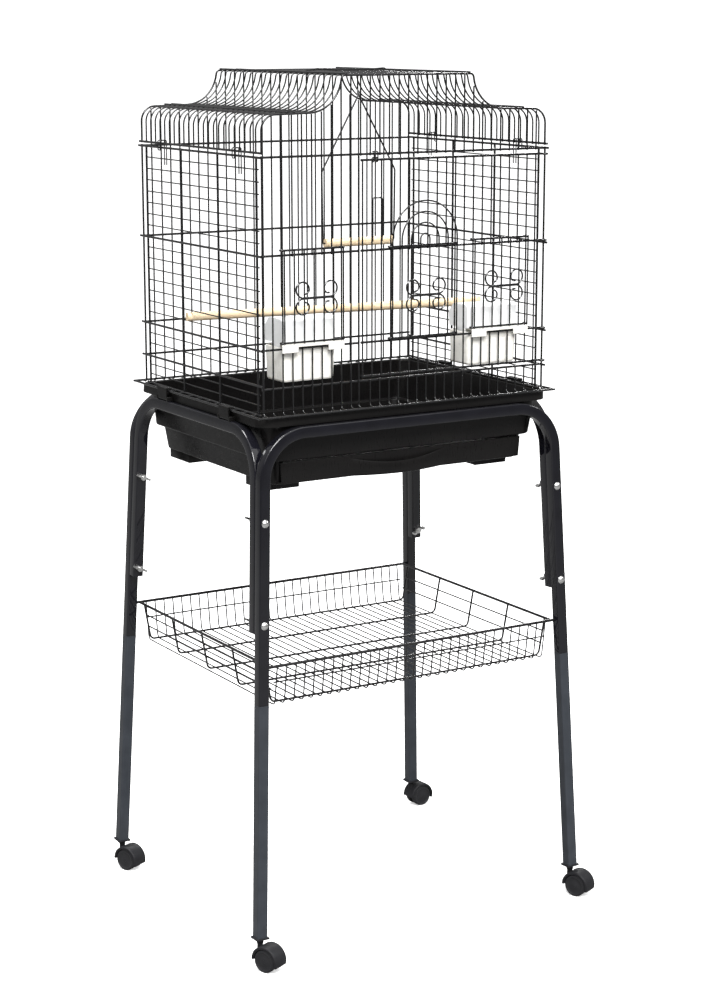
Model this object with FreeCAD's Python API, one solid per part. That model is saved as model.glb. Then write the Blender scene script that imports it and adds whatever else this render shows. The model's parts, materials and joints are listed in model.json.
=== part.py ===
import FreeCAD, Part
import math
import os

# Bird cage on a wheeled stand. Millimetres, +Z up, front towards -Y.
# Built about the centre of the cage, then moved so that the origin is the
# centre of the bounding box in plan, on the floor.

os.makedirs("parts", exist_ok=True)
V = FreeCAD.Vector

# ---- wire sizes -----------------------------------------------------------
UPRIGHT_D = 2.2        # upright wires of the front, back and doors
RAIL_D = 3.2           # horizontal rails
POST_D = 2.8           # corner posts
THIN_D = 1.8           # thin horizontal wires of the side panels
WELD = 0.15            # depth of a resistance weld between two wires
FIT = 0.3              # clearance round wires that slide or turn

# ---- cage -----------------------------------------------------------------
WALL_X = 228.5         # corner post centre to cage centre, along X
WIRE_Y = 179.25        # plane of the front and back upright wires
POST_Y = 179.75        # front corner posts
PITCH = 2 * WALL_X / 30
FLANGE_Z = 770.0       # out-turned foot of every panel
FLANGE_X = 241.4
FLANGE_Y = 193.6
RAIL_IN = (UPRIGHT_D + RAIL_D) / 2 - WELD
RAIL_Y = WIRE_Y - RAIL_IN
TOP_Z = 1115.0
MID_Z = 985.0
LOW_Z = 859.0
BASE_Z = 811.0
SILL_Z = 806.0
EDGE_X = -79.0         # last upright of the fixed part of the front panel
SPLIT = 2.0            # uprights change from one section to the next here

# ---- roof -----------------------------------------------------------------
ROOF_BOTTOM_Z = 1119.0
SHOULDER_Z = 1170.0
RIDGE_Z = 1220.0
RIDGE_X = 105.5
ROOF_WIRES = 25
ROOF_END_D = 2.8

# ---- large front door -----------------------------------------------------
DOOR_PITCH = 15.08
DOOR_X0 = -73.0
DOOR_TOP_Z = 1107.0
DOOR_BASE_Z = 812.0
LOOP_R = POST_D / 2 + RAIL_D / 2 + FIT
DOOR_RAIL_Y = POST_Y - LOOP_R
DOOR_WIRE_Y = DOOR_RAIL_Y + RAIL_IN

# ---- slide doors ----------------------------------------------------------
BAR_D = 3.0
GUIDE_R = UPRIGHT_D / 2 + BAR_D / 2 + 0.35
BAR_TO_WIRE = (UPRIGHT_D + BAR_D) / 2 - WELD

# ---- tub, drawer, clips ---------------------------------------------------
RIM_X = 234.0
RIM_Y = 188.0
RIM_TOP = 768.3
RIM_BOTTOM = 755.2
STEP_Z = 707.0
TUB_BOTTOM = 670.0
TUB_WALL = 2.0

# ---- stand ----------------------------------------------------------------
TUBE = 16.0
TUBE_R = 2.0
TUBE_WALL = 1.2
RAIL_CENTRE_Z = 747.0
LEG_TOP_X = 236.9
LEG_TOP_Y = 193.1
LEG_TOP_Z = 750.0
LEG_FOOT_X = 265.7
LEG_FOOT_Y = 222.9
LEG_FOOT_Z = 50.0
BEND_R = 64.0
SEAM_Z = 378.0
LEG_END_Z = 49.0
SIDE_END_Z = 475.0
BOLT_Z = (629.0, 489.0)

# Name and side of each corner, seen from above
CORNERS = (("front_left", -1, -1), ("front_right", 1, -1), ("back_left", -1, 1), ("back_right", 1, 1))

# ---- casters --------------------------------------------------------------
WHEEL_R = 16.5
WHEEL_Z = 20.0
HOOD_R = 21.5
POCKET_R = 17.4
CASTER_TRAIL = 15.0


def unit(v):
    return V(v).normalize()


def rod(a, b, d):
    a = V(*a)
    b = V(*b)
    return Part.makeCylinder(d / 2, (b - a).Length, a, b - a)


def rod_y(x, half, z, d):
    """Rod along Y, centred on y = 0."""
    return rod((x, -half, z), (x, half, z), d)


def rod_z(x, y, z0, z1, d):
    return rod((x, y, z0), (x, y, z1), d)


def bend_path(points, radius):
    """Edges of a polyline whose inner corners are rounded."""
    pts = [V(*p) for p in points]
    n = len(pts)
    radii = radius if isinstance(radius, (list, tuple)) else [radius] * (n - 2)
    edges = []
    last = pts[0]
    for i in range(1, n - 1):
        a = unit(pts[i - 1] - pts[i])
        b = unit(pts[i + 1] - pts[i])
        half = a.getAngle(b) / 2
        t = radii[i - 1] / math.tan(half)
        p1 = pts[i] + a * t
        p2 = pts[i] + b * t
        centre = pts[i] + unit(a + b) * (radii[i - 1] / math.sin(half))
        mid = centre + unit(pts[i] - centre) * radii[i - 1]
        if (p1 - last).Length > 1e-4:
            edges.append(Part.makeLine(last, p1))
        edges.append(Part.Arc(p1, mid, p2).toShape())
        last = p2
    if (pts[-1] - last).Length > 1e-4:
        edges.append(Part.makeLine(last, pts[-1]))
    return edges


def sweep(edges, d):
    """Round wire along a list of joined edges."""
    first = edges[0]
    start = first.valueAt(first.FirstParameter)
    along = first.tangentAt(first.FirstParameter)
    section = Part.Wire([Part.makeCircle(d / 2, start, along)])
    return Part.Wire(edges).makePipeShell([section], True, False)


def bent(points, radius, d):
    return sweep(bend_path(points, radius), d)


def arc(centre, radius, plane, a0, a1):
    """Arc in plane 'xy', 'yz' or 'xz' from angle a0 to a1 in degrees."""
    out = []
    for a in (a0, (a0 + a1) / 2, a1):
        c = radius * math.cos(math.radians(a))
        s = radius * math.sin(math.radians(a))
        add = {"xy": V(c, s, 0), "yz": V(0, c, s), "xz": V(c, 0, s)}[plane]
        out.append(V(*centre) + add)
    return Part.Arc(*out).toShape()


def weld(shapes):
    """One solid from wires that run into each other."""
    if len(shapes) == 1:
        return shapes[0]
    out = shapes[0].multiFuse(shapes[1:])
    if len(out.Solids) != 1:
        raise RuntimeError("weld gave %d solids" % len(out.Solids))
    return out.Solids[0]


def box(x0, x1, y0, y1, z0, z1):
    return Part.makeBox(x1 - x0, y1 - y0, z1 - z0, V(x0, y0, z0))


def round_rect(half_x, half_y, r, z, cx=0.0, cy=0.0):
    """Closed wire of a rounded rectangle lying flat."""
    pts = [(cx, cy - half_y, z), (cx + half_x, cy - half_y, z),
           (cx + half_x, cy + half_y, z), (cx - half_x, cy + half_y, z),
           (cx - half_x, cy - half_y, z), (cx, cy - half_y, z)]
    return Part.Wire(bend_path(pts, r))


def loft(wires):
    return Part.makeLoft(wires, True, True)


def raised(wire, height):
    """Plate of the given height standing on a flat closed wire."""
    return Part.Face(wire).extrude(V(0, 0, height))


def prism(points, direction):
    pts = [V(*p) for p in points]
    face = Part.Face(Part.makePolygon(pts + [pts[0]]))
    return face.extrude(V(*direction))


NODES = {}


def keep(name, shapes):
    shapes = shapes if isinstance(shapes, list) else [shapes]
    solids = []
    for s in shapes:
        solids.extend(s.Solids)
    NODES[name] = solids


# ===========================================================================
# Roof profile, shared by the roof and the tops of the front and back wires
# ===========================================================================
ROOF_POINTS = [(-WALL_X, ROOF_BOTTOM_Z), (-WALL_X, SHOULDER_Z), (-112, SHOULDER_Z + 2.5),
               (-RIDGE_X, RIDGE_Z), (RIDGE_X, RIDGE_Z), (112, SHOULDER_Z + 2.5),
               (WALL_X, SHOULDER_Z), (WALL_X, ROOF_BOTTOM_Z)]
ROOF_RADII = [21, 50, 5.5, 5.5, 50, 21]


def roof_path(y):
    return bend_path([(x, y, z) for x, z in ROOF_POINTS], ROOF_RADII)


PROFILE = []
for e in roof_path(0.0):
    steps = max(2, int(e.Length / 0.4))
    for i in range(steps):
        t = e.FirstParameter + (e.LastParameter - e.FirstParameter) * i / steps
        PROFILE.append(e.valueAt(t))


def profile_z(x):
    """Height of the profile's centre line above x."""
    near = sorted(PROFILE, key=lambda p: abs(p.x - x))[:2]
    return max(near[0].z, near[1].z)


def top_under_profile(x):
    """Where an upright under the end wire of the roof has to stop."""
    reach = ROOF_END_D / 2 + 0.06
    top = 1e9
    for p in PROFILE:
        side = max(0.0, abs(p.x - x) - UPRIGHT_D / 2)
        if side < reach and p.z > TOP_Z + 10:
            top = min(top, p.z - math.sqrt(reach * reach - side * side))
    return top


# ===========================================================================
# Front and back panels
# ===========================================================================
def foot_path(x, y, top, side):
    """Upright that turns outwards at the bottom to the flange wire."""
    return [(x, y * side, top), (x, y * side, FLANGE_Z), (x, FLANGE_Y * side, FLANGE_Z)]


def flange_wire_x(side):
    end = FLANGE_X + RAIL_D / 2
    return rod((-end, FLANGE_Y * side, FLANGE_Z), (end, FLANGE_Y * side, FLANGE_Z), RAIL_D)


GRID = [-WALL_X + PITCH * i for i in range(31)]


def rail_x(x0, x1, z, y, d=RAIL_D):
    return rod((x0, y, z), (x1, y, z), d)


back_y = 179.55
back = [flange_wire_x(1)]
for x in GRID[1:-1]:
    back.append(bent(foot_path(x, WIRE_Y, top_under_profile(x), 1), 5.0, UPRIGHT_D))
for x in (-WALL_X, WALL_X):
    back.append(bent(foot_path(x, back_y, TOP_Z + 2, 1), 5.0, POST_D))
for z in (BASE_Z, LOW_Z, MID_Z, TOP_Z):
    back.append(rail_x(-WALL_X - 0.6, WALL_X + 0.6, z, RAIL_Y))
keep("back_panel", weld(back))


def section(xs, z0, z1, rails, wire_y, rail_y):
    """Uprights between two heights, welded to their rails."""
    parts = []
    for x in xs:
        parts.append(rod((x, wire_y, z0), (x, wire_y, z1), UPRIGHT_D))
    for z, x0, x1 in rails:
        parts.append(rail_x(x0, x1, z, rail_y))
    return weld(parts)


left_xs = GRID[1:10] + [EDGE_X]
hole_left = GRID[3:8]
abut = 0.02
front = []

gable = [rail_x(-WALL_X - 0.6, WALL_X + 0.6, TOP_Z, -RAIL_Y)]
for x in GRID[1:-1]:
    gable.append(rod((x, -WIRE_Y, TOP_Z - SPLIT), (x, -WIRE_Y, top_under_profile(x)), UPRIGHT_D))
front.append(weld(gable))

front.append(section(left_xs, MID_Z - SPLIT, TOP_Z - SPLIT - abut,
                     [(MID_Z, -WALL_X - 0.6, EDGE_X + 1.1)], -WIRE_Y, -RAIL_Y))
for x in left_xs:
    if x not in hole_left:
        front.append(rod_z(x, -WIRE_Y, LOW_Z + SPLIT + abut, MID_Z - SPLIT - abut, UPRIGHT_D))
front.append(section(left_xs, SILL_Z + SPLIT + abut, LOW_Z + SPLIT,
                     [(LOW_Z, -WALL_X - 0.6, EDGE_X + 1.1)], -WIRE_Y, -RAIL_Y))

sill = [flange_wire_x(-1), rail_x(-WALL_X - 0.6, WALL_X + 0.6, SILL_Z, -RAIL_Y)]
for x in GRID[1:10] + [EDGE_X] + GRID[11:-1]:
    top = SILL_Z + SPLIT if x <= EDGE_X else SILL_Z + 1.4
    sill.append(bent(foot_path(x, WIRE_Y, top, -1), 5.0, UPRIGHT_D))
front.append(weld(sill))

for x in (-WALL_X, WALL_X):
    path = [(x, -POST_Y, TOP_Z + 2), (x, -POST_Y, FLANGE_Z + 0.4),
            (x, -FLANGE_Y + RAIL_D / 2 + 0.04, FLANGE_Z + 0.4)]
    front.append(bent(path, 5.0, POST_D))
keep("front_panel", front)


# ===========================================================================
# Side panels
# ===========================================================================
def side_panel(side, rails):
    x_wall = WALL_X * side
    x_rail = (WALL_X + POST_D / 2 + RAIL_D / 2 + 0.05) * side
    x_thin = (WALL_X - RAIL_D / 2 - THIN_D / 2 + WELD) * side
    parts = []
    for y in (-165, -55, 55, 165):
        parts.append(rod((x_wall, y, FLANGE_Z), (x_wall, y, TOP_Z + 1.2), RAIL_D))
    for z in rails:
        parts.append(rod((x_rail, -183.6, z), (x_rail, 183.6, z), RAIL_D))
    heights = [TOP_Z - 16.25 * k for k in range(1, 8)]
    heights += [MID_Z - 15.75 * k for k in range(1, 8)]
    heights += [LOW_Z - 15.3 * k for k in (1, 2)]
    heights += [797.0, 783.0]
    for z in heights:
        parts.append(rod((x_thin, -167, z), (x_thin, 167, z), THIN_D))
    parts.append(rod((x_wall, -174, FLANGE_Z), (x_wall, 174, FLANGE_Z), RAIL_D + 0.2))
    parts.append(rod((FLANGE_X * side, -191.9, FLANGE_Z), (FLANGE_X * side, 191.9, FLANGE_Z), RAIL_D))
    for k in range(-6, 7):
        parts.append(rod((x_wall, 27 * k, FLANGE_Z), (FLANGE_X * side, 27 * k, FLANGE_Z), UPRIGHT_D))
    return weld(parts)


keep("left_panel", side_panel(-1, (TOP_Z, MID_Z, LOW_Z, BASE_Z)))
# The right panel's rails sit just below the hinge loops of the large door.
keep("right_panel", side_panel(1, (TOP_Z, MID_Z - 3.6, LOW_Z - 3.6, SILL_Z - 1.0)))


# ===========================================================================
# Roof
# ===========================================================================
roof = []
for k in range(ROOF_WIRES):
    y = -WIRE_Y + 2 * WIRE_Y * k / (ROOF_WIRES - 1)
    end = k in (0, ROOF_WIRES - 1)
    roof.append(sweep(roof_path(y), ROOF_END_D if end else UPRIGHT_D))
LONG_D = 2.4
lift = (UPRIGHT_D + LONG_D) / 2 - WELD
for s in (-1, 1):
    roof.append(rod_y((WALL_X + RAIL_IN) * s, 182, ROOF_BOTTOM_Z + 2, RAIL_D))
    for x, half in ((190.0, 181), (179.0, 181), (165.0, 150), (99.0, 181), (88.0, 152)):
        roof.append(rod_y(x * s, half, profile_z(x * s) + lift, LONG_D))
keep("roof", weld(roof))

# Long wire clips that tie the roof to the side panels
clips = []
CLIP_D = 1.6
for s in (-1, 1):
    for y in (-112.03, 112.03):
        xi = (WALL_X - 4.35) * s
        xo = (WALL_X + 5.7) * s
        h = 3.3
        path = [(xi, y - h, 1090), (xi, y - h, 1125), (xo, y - h, 1125), (xo, y - h, 1111.5),
                (xo, y + h, 1111.5), (xo, y + h, 1125), (xi, y + h, 1125), (xi, y + h, 1090)]
        clips.append(bent(path, 1.5, CLIP_D))
keep("roof_clips", clips)

# Carry handle: eyes round the middle roof wire, bow lying forward
HANDLE_D = 3.2
EYE_R = UPRIGHT_D / 2 + HANDLE_D / 2 + 0.35
bow_z = RIDGE_Z + EYE_R
bow = [arc((-55.0, 0, RIDGE_Z), EYE_R, "yz", -150, 90)]
bow += bend_path([(-55, 0, bow_z), (-55, -6, bow_z), (-55, -34, bow_z + 2.5), (-30, -35, bow_z + 0.8),
                  (30, -35, bow_z + 0.8), (55, -34, bow_z + 2.5), (55, -6, bow_z), (55, 0, bow_z)],
                 [20, 8, 14, 14, 8, 20])
bow += [arc((55.0, 0, RIDGE_Z), EYE_R, "yz", 90, -150)]
keep("carry_handle", sweep(bow, HANDLE_D))


# ===========================================================================
# Large front door
# ===========================================================================
DOOR_XS = [DOOR_X0 + DOOR_PITCH * i for i in range(20)]
hole_centre = DOOR_XS[4:10]
hole_right = DOOR_XS[13:18]


def hinge_rail(z):
    """Door rail whose end turns round the corner post as a loop."""
    y = -DOOR_RAIL_Y
    edges = [Part.makeLine(V(DOOR_X0 - 1.1, y, z), V(WALL_X, y, z)),
             arc((WALL_X, -POST_Y, z), LOOP_R, "xy", 90, -180)]
    return sweep(edges, RAIL_D)


door = []
upper = [hinge_rail(DOOR_TOP_Z), hinge_rail(MID_Z)]
for x in DOOR_XS:
    upper.append(rod((x, -DOOR_WIRE_Y, MID_Z - SPLIT), (x, -DOOR_WIRE_Y, DOOR_TOP_Z + 1.5), UPRIGHT_D))
door.append(weld(upper))
for x in DOOR_XS:
    if x not in hole_centre and x not in hole_right:
        door.append(rod_z(x, -DOOR_WIRE_Y, LOW_Z + SPLIT + abut, MID_Z - SPLIT - abut, UPRIGHT_D))
lower = [hinge_rail(LOW_Z), hinge_rail(DOOR_BASE_Z)]
for x in DOOR_XS:
    lower.append(rod((x, -DOOR_WIRE_Y, DOOR_BASE_Z - 1.5), (x, -DOOR_WIRE_Y, LOW_Z + SPLIT), UPRIGHT_D))
door.append(weld(lower))
keep("large_front_door", door)

# Pull: narrow inverted U standing on two uprights of the door
pull_y = -DOOR_WIRE_Y - UPRIGHT_D / 2 - 1.0 - 0.02
keep("door_pull", bent([(DOOR_XS[1], pull_y, 997), (DOOR_XS[1], pull_y, 1056),
                        (DOOR_XS[2], pull_y, 1056), (DOOR_XS[2], pull_y, 997)], 2.5, 2.0))

# Latch: bail turning on the door's top rail, its bar lying over the panel's top rail
LATCH_D = 1.8
LATCH_R = RAIL_D / 2 + LATCH_D / 2 + FIT
front_y = -DOOR_RAIL_Y - LATCH_R
bar_z = TOP_Z + RAIL_D / 2 + LATCH_D / 2 + 0.4
bail = [arc((-54.8, -DOOR_RAIL_Y, DOOR_TOP_Z), LATCH_R, "yz", 105, -180)]
bail += bend_path([(-54.8, front_y, DOOR_TOP_Z), (-54.8, front_y, bar_z), (-54.8, -174.6, bar_z),
                   (-48.8, -174.6, bar_z), (-48.8, front_y, bar_z), (-48.8, front_y, DOOR_TOP_Z)], 1.6)
bail += [arc((-48.8, -DOOR_RAIL_Y, DOOR_TOP_Z), LATCH_R, "yz", -180, 105)]
keep("door_latch", sweep(bail, LATCH_D))


# ===========================================================================
# Slide doors
# ===========================================================================
def slide_bar(x0, x1, guide_y, z):
    """Bar in front of two guide wires, with each end hooked round one."""
    y = guide_y - GUIDE_R
    edges = [arc((x0, guide_y, z), GUIDE_R, "xy", 60, 270),
             Part.makeLine(V(x0, y, z), V(x1, y, z)),
             arc((x1, guide_y, z), GUIDE_R, "xy", -90, 120)]
    return [sweep(edges, BAR_D)]


def feeder_door(xs, guide_y):
    z0 = 867.6
    z1 = 992.0
    y = guide_y - GUIDE_R - BAR_TO_WIRE
    parts = slide_bar(xs[0], xs[-1], guide_y, z0) + slide_bar(xs[0], xs[-1], guide_y, z1)
    for x in xs:
        parts.append(rod((x, y, z0 - 1.3), (x, y, z1 + 1.3), UPRIGHT_D))
    return weld(parts)


def arch_door(xs, guide_y):
    z0 = LOW_Z + (RAIL_D + BAR_D) / 2 + 0.2
    z1 = MID_Z + (RAIL_D + BAR_D) / 2 + 0.3
    spring = 997.0
    y = guide_y - GUIDE_R - BAR_TO_WIRE
    centre = (xs[0] + xs[-1]) / 2
    parts = slide_bar(xs[0], xs[-1], guide_y, z0) + slide_bar(xs[0], xs[-1], guide_y, z1)
    for i in range(len(xs) // 2):
        r = centre - xs[i]
        edges = [Part.makeLine(V(centre - r, y, z0 - 1.3), V(centre - r, y, spring)),
                 arc((centre, y, spring), r, "xz", 180, 0),
                 Part.makeLine(V(centre + r, y, spring), V(centre + r, y, z0 - 1.3))]
        parts.append(sweep(edges, UPRIGHT_D))
    return weld(parts)


keep("feeder_door_left", feeder_door(GRID[2:9], -WIRE_Y))
keep("feeder_door_right", feeder_door(DOOR_XS[12:19], -DOOR_WIRE_Y))
keep("centre_door", arch_door(DOOR_XS[3:11], -DOOR_WIRE_Y))


# ===========================================================================
# Scroll ornaments on the slide doors
# ===========================================================================
SCROLL_D = 2.4
SCROLL_BAR = 20.5


def scroll_wire(cx, y, z, up):
    """One wire: curled end, straight bar, curled end."""
    r1 = 11.2
    r2 = 10.0
    r3 = 6.2
    x1 = cx + SCROLL_BAR
    x0 = cx - SCROLL_BAR
    zc = z + r1 * up

    def turn(x, r, start, end):
        return arc((x, y, zc), r, "xz", start * up, end * up)

    left = [turn(x0 - r1 + r2 + r2 - r3, r3, -110, 0),
            turn(x0 - r1 + r2, r2, 0, 180),
            turn(x0, r1, 180, 270)]
    right = [turn(x1, r1, -90, 0),
             turn(x1 + r1 - r2, r2, 0, 180),
             turn(x1 + r1 - r2 - r2 + r3, r3, 180, 290)]
    return left + [Part.makeLine(V(x0, y, z), V(x1, y, z))] + right


def scroll(cx, z, guide_y):
    y = guide_y - GUIDE_R - BAR_TO_WIRE - (UPRIGHT_D + SCROLL_D) / 2 - 0.02
    return weld([sweep(scroll_wire(cx, y, z + 0.6 * up, up), SCROLL_D) for up in (-1, 1)])


keep("ornament_left", scroll((GRID[2] + GRID[8]) / 2 + 2.5, 927.0, -WIRE_Y))
keep("ornament_centre", scroll((DOOR_XS[3] + DOOR_XS[10]) / 2, 920.0, -DOOR_WIRE_Y))
keep("ornament_right", scroll((DOOR_XS[12] + DOOR_XS[18]) / 2 + 3.0, 925.0, -DOOR_WIRE_Y))


# ===========================================================================
# Feeders
# ===========================================================================
CUP_HALF_X = 41.0
CUP_FRONT = -174.1
CUP_BACK = -124.5


def feeder_cup(cx, centre_opening, guide_span):
    cy = (CUP_FRONT + CUP_BACK) / 2
    hy = (CUP_BACK - CUP_FRONT) / 2
    outer = loft([round_rect(CUP_HALF_X - 5, hy - 3.5, 5, 808.0, cx, cy + 1.5),
                  round_rect(CUP_HALF_X - 1.2, hy - 1.0, 6, 815.0, cx, cy + 0.8),
                  round_rect(CUP_HALF_X, hy, 6, 860.0, cx, cy)])
    inner = loft([round_rect(CUP_HALF_X - 6.5, hy - 5.0, 4, 810.0, cx, cy + 1.5),
                  round_rect(CUP_HALF_X - 3.2, hy - 3.0, 4, 817.0, cx, cy + 0.8),
                  round_rect(CUP_HALF_X - 2, hy - 2, 4, 861.0, cx, cy)])
    cup = outer.cut(inner)
    neck = box(cx - CUP_HALF_X + 7, cx + CUP_HALF_X - 7, CUP_FRONT, CUP_FRONT + 2.0, 850.0, 865.4)
    half = guide_span / 2 - UPRIGHT_D / 2 - 0.5
    ledge = box(centre_opening - half, centre_opening + half, -180.9, CUP_FRONT + 2.0, 861.4, 865.4)
    lip = box(centre_opening - half - 4.5, centre_opening + half + 4.5, -183.4, -180.9, 861.4, 865.4)
    tongues = []
    for s in (-1, 1):
        xe = centre_opening + s * (half + 4.5)
        xi = xe - s * 25
        tongues.append(box(min(xe, xi), max(xe, xi), -183.4, -180.9, 854.0, 861.5))
    return weld([cup, neck, ledge, lip] + tongues)


left_open = (GRID[2] + GRID[8]) / 2
right_open = (DOOR_XS[12] + DOOR_XS[18]) / 2
LEFT_CUP_X = -157.0
RIGHT_CUP_X = 143.0
keep("feeder_cup_left", feeder_cup(LEFT_CUP_X, left_open, GRID[8] - GRID[2]))
keep("feeder_cup_right", feeder_cup(RIGHT_CUP_X, right_open, DOOR_XS[18] - DOOR_XS[12]))


def feeder_hood(cx):
    """Thin clear hood on the cup, open below and towards the cage."""
    y0 = CUP_FRONT + 2.2
    y1 = CUP_BACK
    x0 = cx - CUP_HALF_X + 0.3
    x1 = cx + CUP_HALF_X - 0.3
    z0 = 865.6
    z1 = 909.0
    side = [(x0, y0, z0), (x0, y0, z1 - 3), (x0, y0 + 3, z1), (x0, y1 - 14, z1),
            (x0, y1, z1 - 14), (x0, y1, z1 - 18), (x0, y1 - 20, z0)]
    outer = prism(side, (x1 - x0, 0, 0))
    w = 1.5
    hollow = [(x0 + w, y0 + w, z0 - 1), (x0 + w, y0 + w, z1 - 3.6), (x0 + w, y0 + 3.6, z1 - w),
              (x0 + w, y1 - 14.6, z1 - w), (x0 + w, y1 - w, z1 - 14.6), (x0 + w, y1 + 1, z1 - 17),
              (x0 + w, y1 + 1, z0 - 1)]
    return outer.cut(prism(hollow, (x1 - x0 - 2 * w, 0, 0)))


def hood_feet(cx):
    """Side walls of the hood carried down inside the rim of the cup."""
    parts = []
    for s in (-1, 1):
        xa = cx + s * (CUP_HALF_X - 0.3)
        xb = cx + s * (CUP_HALF_X - 1.8)
        parts.append(box(min(xa, xb), max(xa, xb), CUP_FRONT + 8.0, CUP_BACK - 20.0, 860.1, 865.8))
    return parts


for name, cx in (("feeder_hood_left", LEFT_CUP_X), ("feeder_hood_right", RIGHT_CUP_X)):
    keep(name, weld([feeder_hood(cx)] + hood_feet(cx)))


# ===========================================================================
# Perch and swing
# ===========================================================================
PERCH_D = 12.5
perch_z = 881.0
a = V(-230.0, 41.2, perch_z)
b = V(230.0, -16.2, perch_z)
perch = rod((a.x, a.y, a.z), (b.x, b.y, b.z), PERCH_D)
wire_x = WALL_X - RAIL_D / 2 - THIN_D / 2 + WELD
wire_top = MID_Z - 7 * 15.75 + THIN_D / 2
for s in (-1, 1):
    groove = box(wire_x * s - 1.3, wire_x * s + 1.3, -60, 60, perch_z - 8, wire_top + 0.05)
    perch = perch.cut(groove)
keep("perch", perch)

SWING_X = 29.0
SWING_HALF = 56.5
SWING_Z = 978.0
SWING_D = 12.5
HANGER_D = 2.4
swing = rod((SWING_X - SWING_HALF, 0, SWING_Z), (SWING_X + SWING_HALF, 0, SWING_Z), SWING_D)
for s in (-1, 1):
    end = SWING_X + SWING_HALF * s
    swing = swing.cut(rod((end - 9.2 * s, 0, SWING_Z), (end + s, 0, SWING_Z), HANGER_D + 0.1))
keep("swing_perch", swing)

hook_r = UPRIGHT_D / 2 + HANGER_D / 2 + FIT
leg_x = SWING_HALF + 3.5
left_leg = [(SWING_X - SWING_HALF + 9, 0, SWING_Z), (SWING_X - leg_x, 0, SWING_Z),
            (SWING_X - leg_x - 1.5, 0, 1080), (SWING_X - 1.0, 0, 1186), (SWING_X, hook_r, 1196),
            (SWING_X, hook_r, RIDGE_Z)]
right_leg = [(SWING_X + SWING_HALF - 9, 0, SWING_Z), (SWING_X + leg_x, 0, SWING_Z),
             (SWING_X + leg_x + 1.5, 0, 1080), (SWING_X + 1.0, 0, 1186),
             (SWING_X + 0.6, hook_r * 0.6, 1192)]
stem = bend_path(left_leg, [1.8, 8, 3, 3]) + [arc((SWING_X, 0, RIDGE_Z), hook_r, "yz", 0, 230)]
keep("swing_wire", weld([sweep(stem, HANGER_D), bent(right_leg, [1.8, 8, 2], HANGER_D)]))


# ===========================================================================
# Tub, drawer, clips
# ===========================================================================
upper_out = loft([round_rect(215, 175, 20, STEP_Z - 2), round_rect(224, 182, 22, RIM_TOP)])
upper_in = loft([round_rect(213, 173, 18, STEP_Z - 0.01), round_rect(222, 180, 20, RIM_TOP + 0.2)])
lower_out = loft([round_rect(201, 162, 16, TUB_BOTTOM), round_rect(206, 166, 18, STEP_Z)])
lower_in = loft([round_rect(199, 160, 14, TUB_BOTTOM + TUB_WALL), round_rect(204, 164, 16, STEP_Z + 0.5)])
rim_height = RIM_TOP - RIM_BOTTOM
skirt_out = raised(round_rect(RIM_X, RIM_Y, 20, RIM_BOTTOM), rim_height)
skirt_in = raised(round_rect(RIM_X - 2, RIM_Y - 2, 18, RIM_BOTTOM - 1), rim_height - 1)
tub = weld([upper_out, lower_out, skirt_out.cut(skirt_in)])
tub = tub.cut(upper_in).cut(lower_in)

feet = []
for sx in (-1, 1):
    for sy in (-1, 1):
        feet.append(box(162 * sx - 27, 162 * sx + 27, 138 * sy - 6, 138 * sy + 6, 663.5, TUB_BOTTOM + 1))
tub = weld([tub] + feet)
DRAWER_X = 196.0
DRAWER_Z0 = 673.6
DRAWER_Z1 = 702.0
tub = tub.cut(box(-DRAWER_X - 0.6, DRAWER_X + 0.6, -175, -150, DRAWER_Z0 - 0.6, DRAWER_Z1 + 0.8))

# Ears on the rim that carry the base clips
CLIP_AXIS_X = 243.0
CLIP_AXIS_Z = 758.2
CLIP_Y = 95.0
CLIP_HALF = 14.0
PIN_D = 2.4
ears = []
for sx in (-1, 1):
    for y in (-CLIP_Y, CLIP_Y):
        for sy in (-1, 1):
            yc = y + sy * (CLIP_HALF + 2.0)
            xc = CLIP_AXIS_X * sx
            ear = box(min(233 * sx, 246 * sx), max(233 * sx, 246 * sx), yc - 1.6, yc + 1.6, 755.5, 761.4)
            hole = rod((xc, yc - 3, CLIP_AXIS_Z), (xc, yc + 3, CLIP_AXIS_Z), PIN_D + 0.16)
            ears.append(ear.cut(hole))
tub = weld([tub] + ears)
keep("base_tub", tub)

# Drawer with its bulged handle
tray = raised(round_rect(DRAWER_X, 160.5, 13.0, DRAWER_Z0, 0, -3.5), DRAWER_Z1 - DRAWER_Z0)
tray = tray.cut(raised(round_rect(DRAWER_X - 1.8, 158.7, 11.2, DRAWER_Z0 + 1.8, 0, -3.5), 40))
fascia = box(-DRAWER_X - 3, DRAWER_X + 3, -171.2, -168.6, DRAWER_Z0 - 1.8, DRAWER_Z1 + 0.2)
bridge = box(-DRAWER_X, DRAWER_X, -168.8, -163.0, DRAWER_Z0, DRAWER_Z1)
HANDLE_X = -11.5
HANDLE_HALF = 86.5


def bulge(half, y_edge, y_mid, z0, z1):
    c = HANDLE_X
    front_arc = Part.Arc(V(c - half, y_edge, z0), V(c, y_mid, z0), V(c + half, y_edge, z0)).toShape()
    chord = Part.makeLine(V(c + half, y_edge, z0), V(c - half, y_edge, z0))
    return Part.Face(Part.Wire([front_arc, chord])).extrude(V(0, 0, z1 - z0))


grip = bulge(HANDLE_HALF, -170.0, -184.0, 666.0, 701.0)
pocket = bulge(HANDLE_HALF - 8, -171.2, -181.6, 669.0, 703.0)
drawer = weld([tray, bridge, fascia, grip])
drawer = drawer.cut(pocket)
keep("drawer_tray", drawer)


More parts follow.
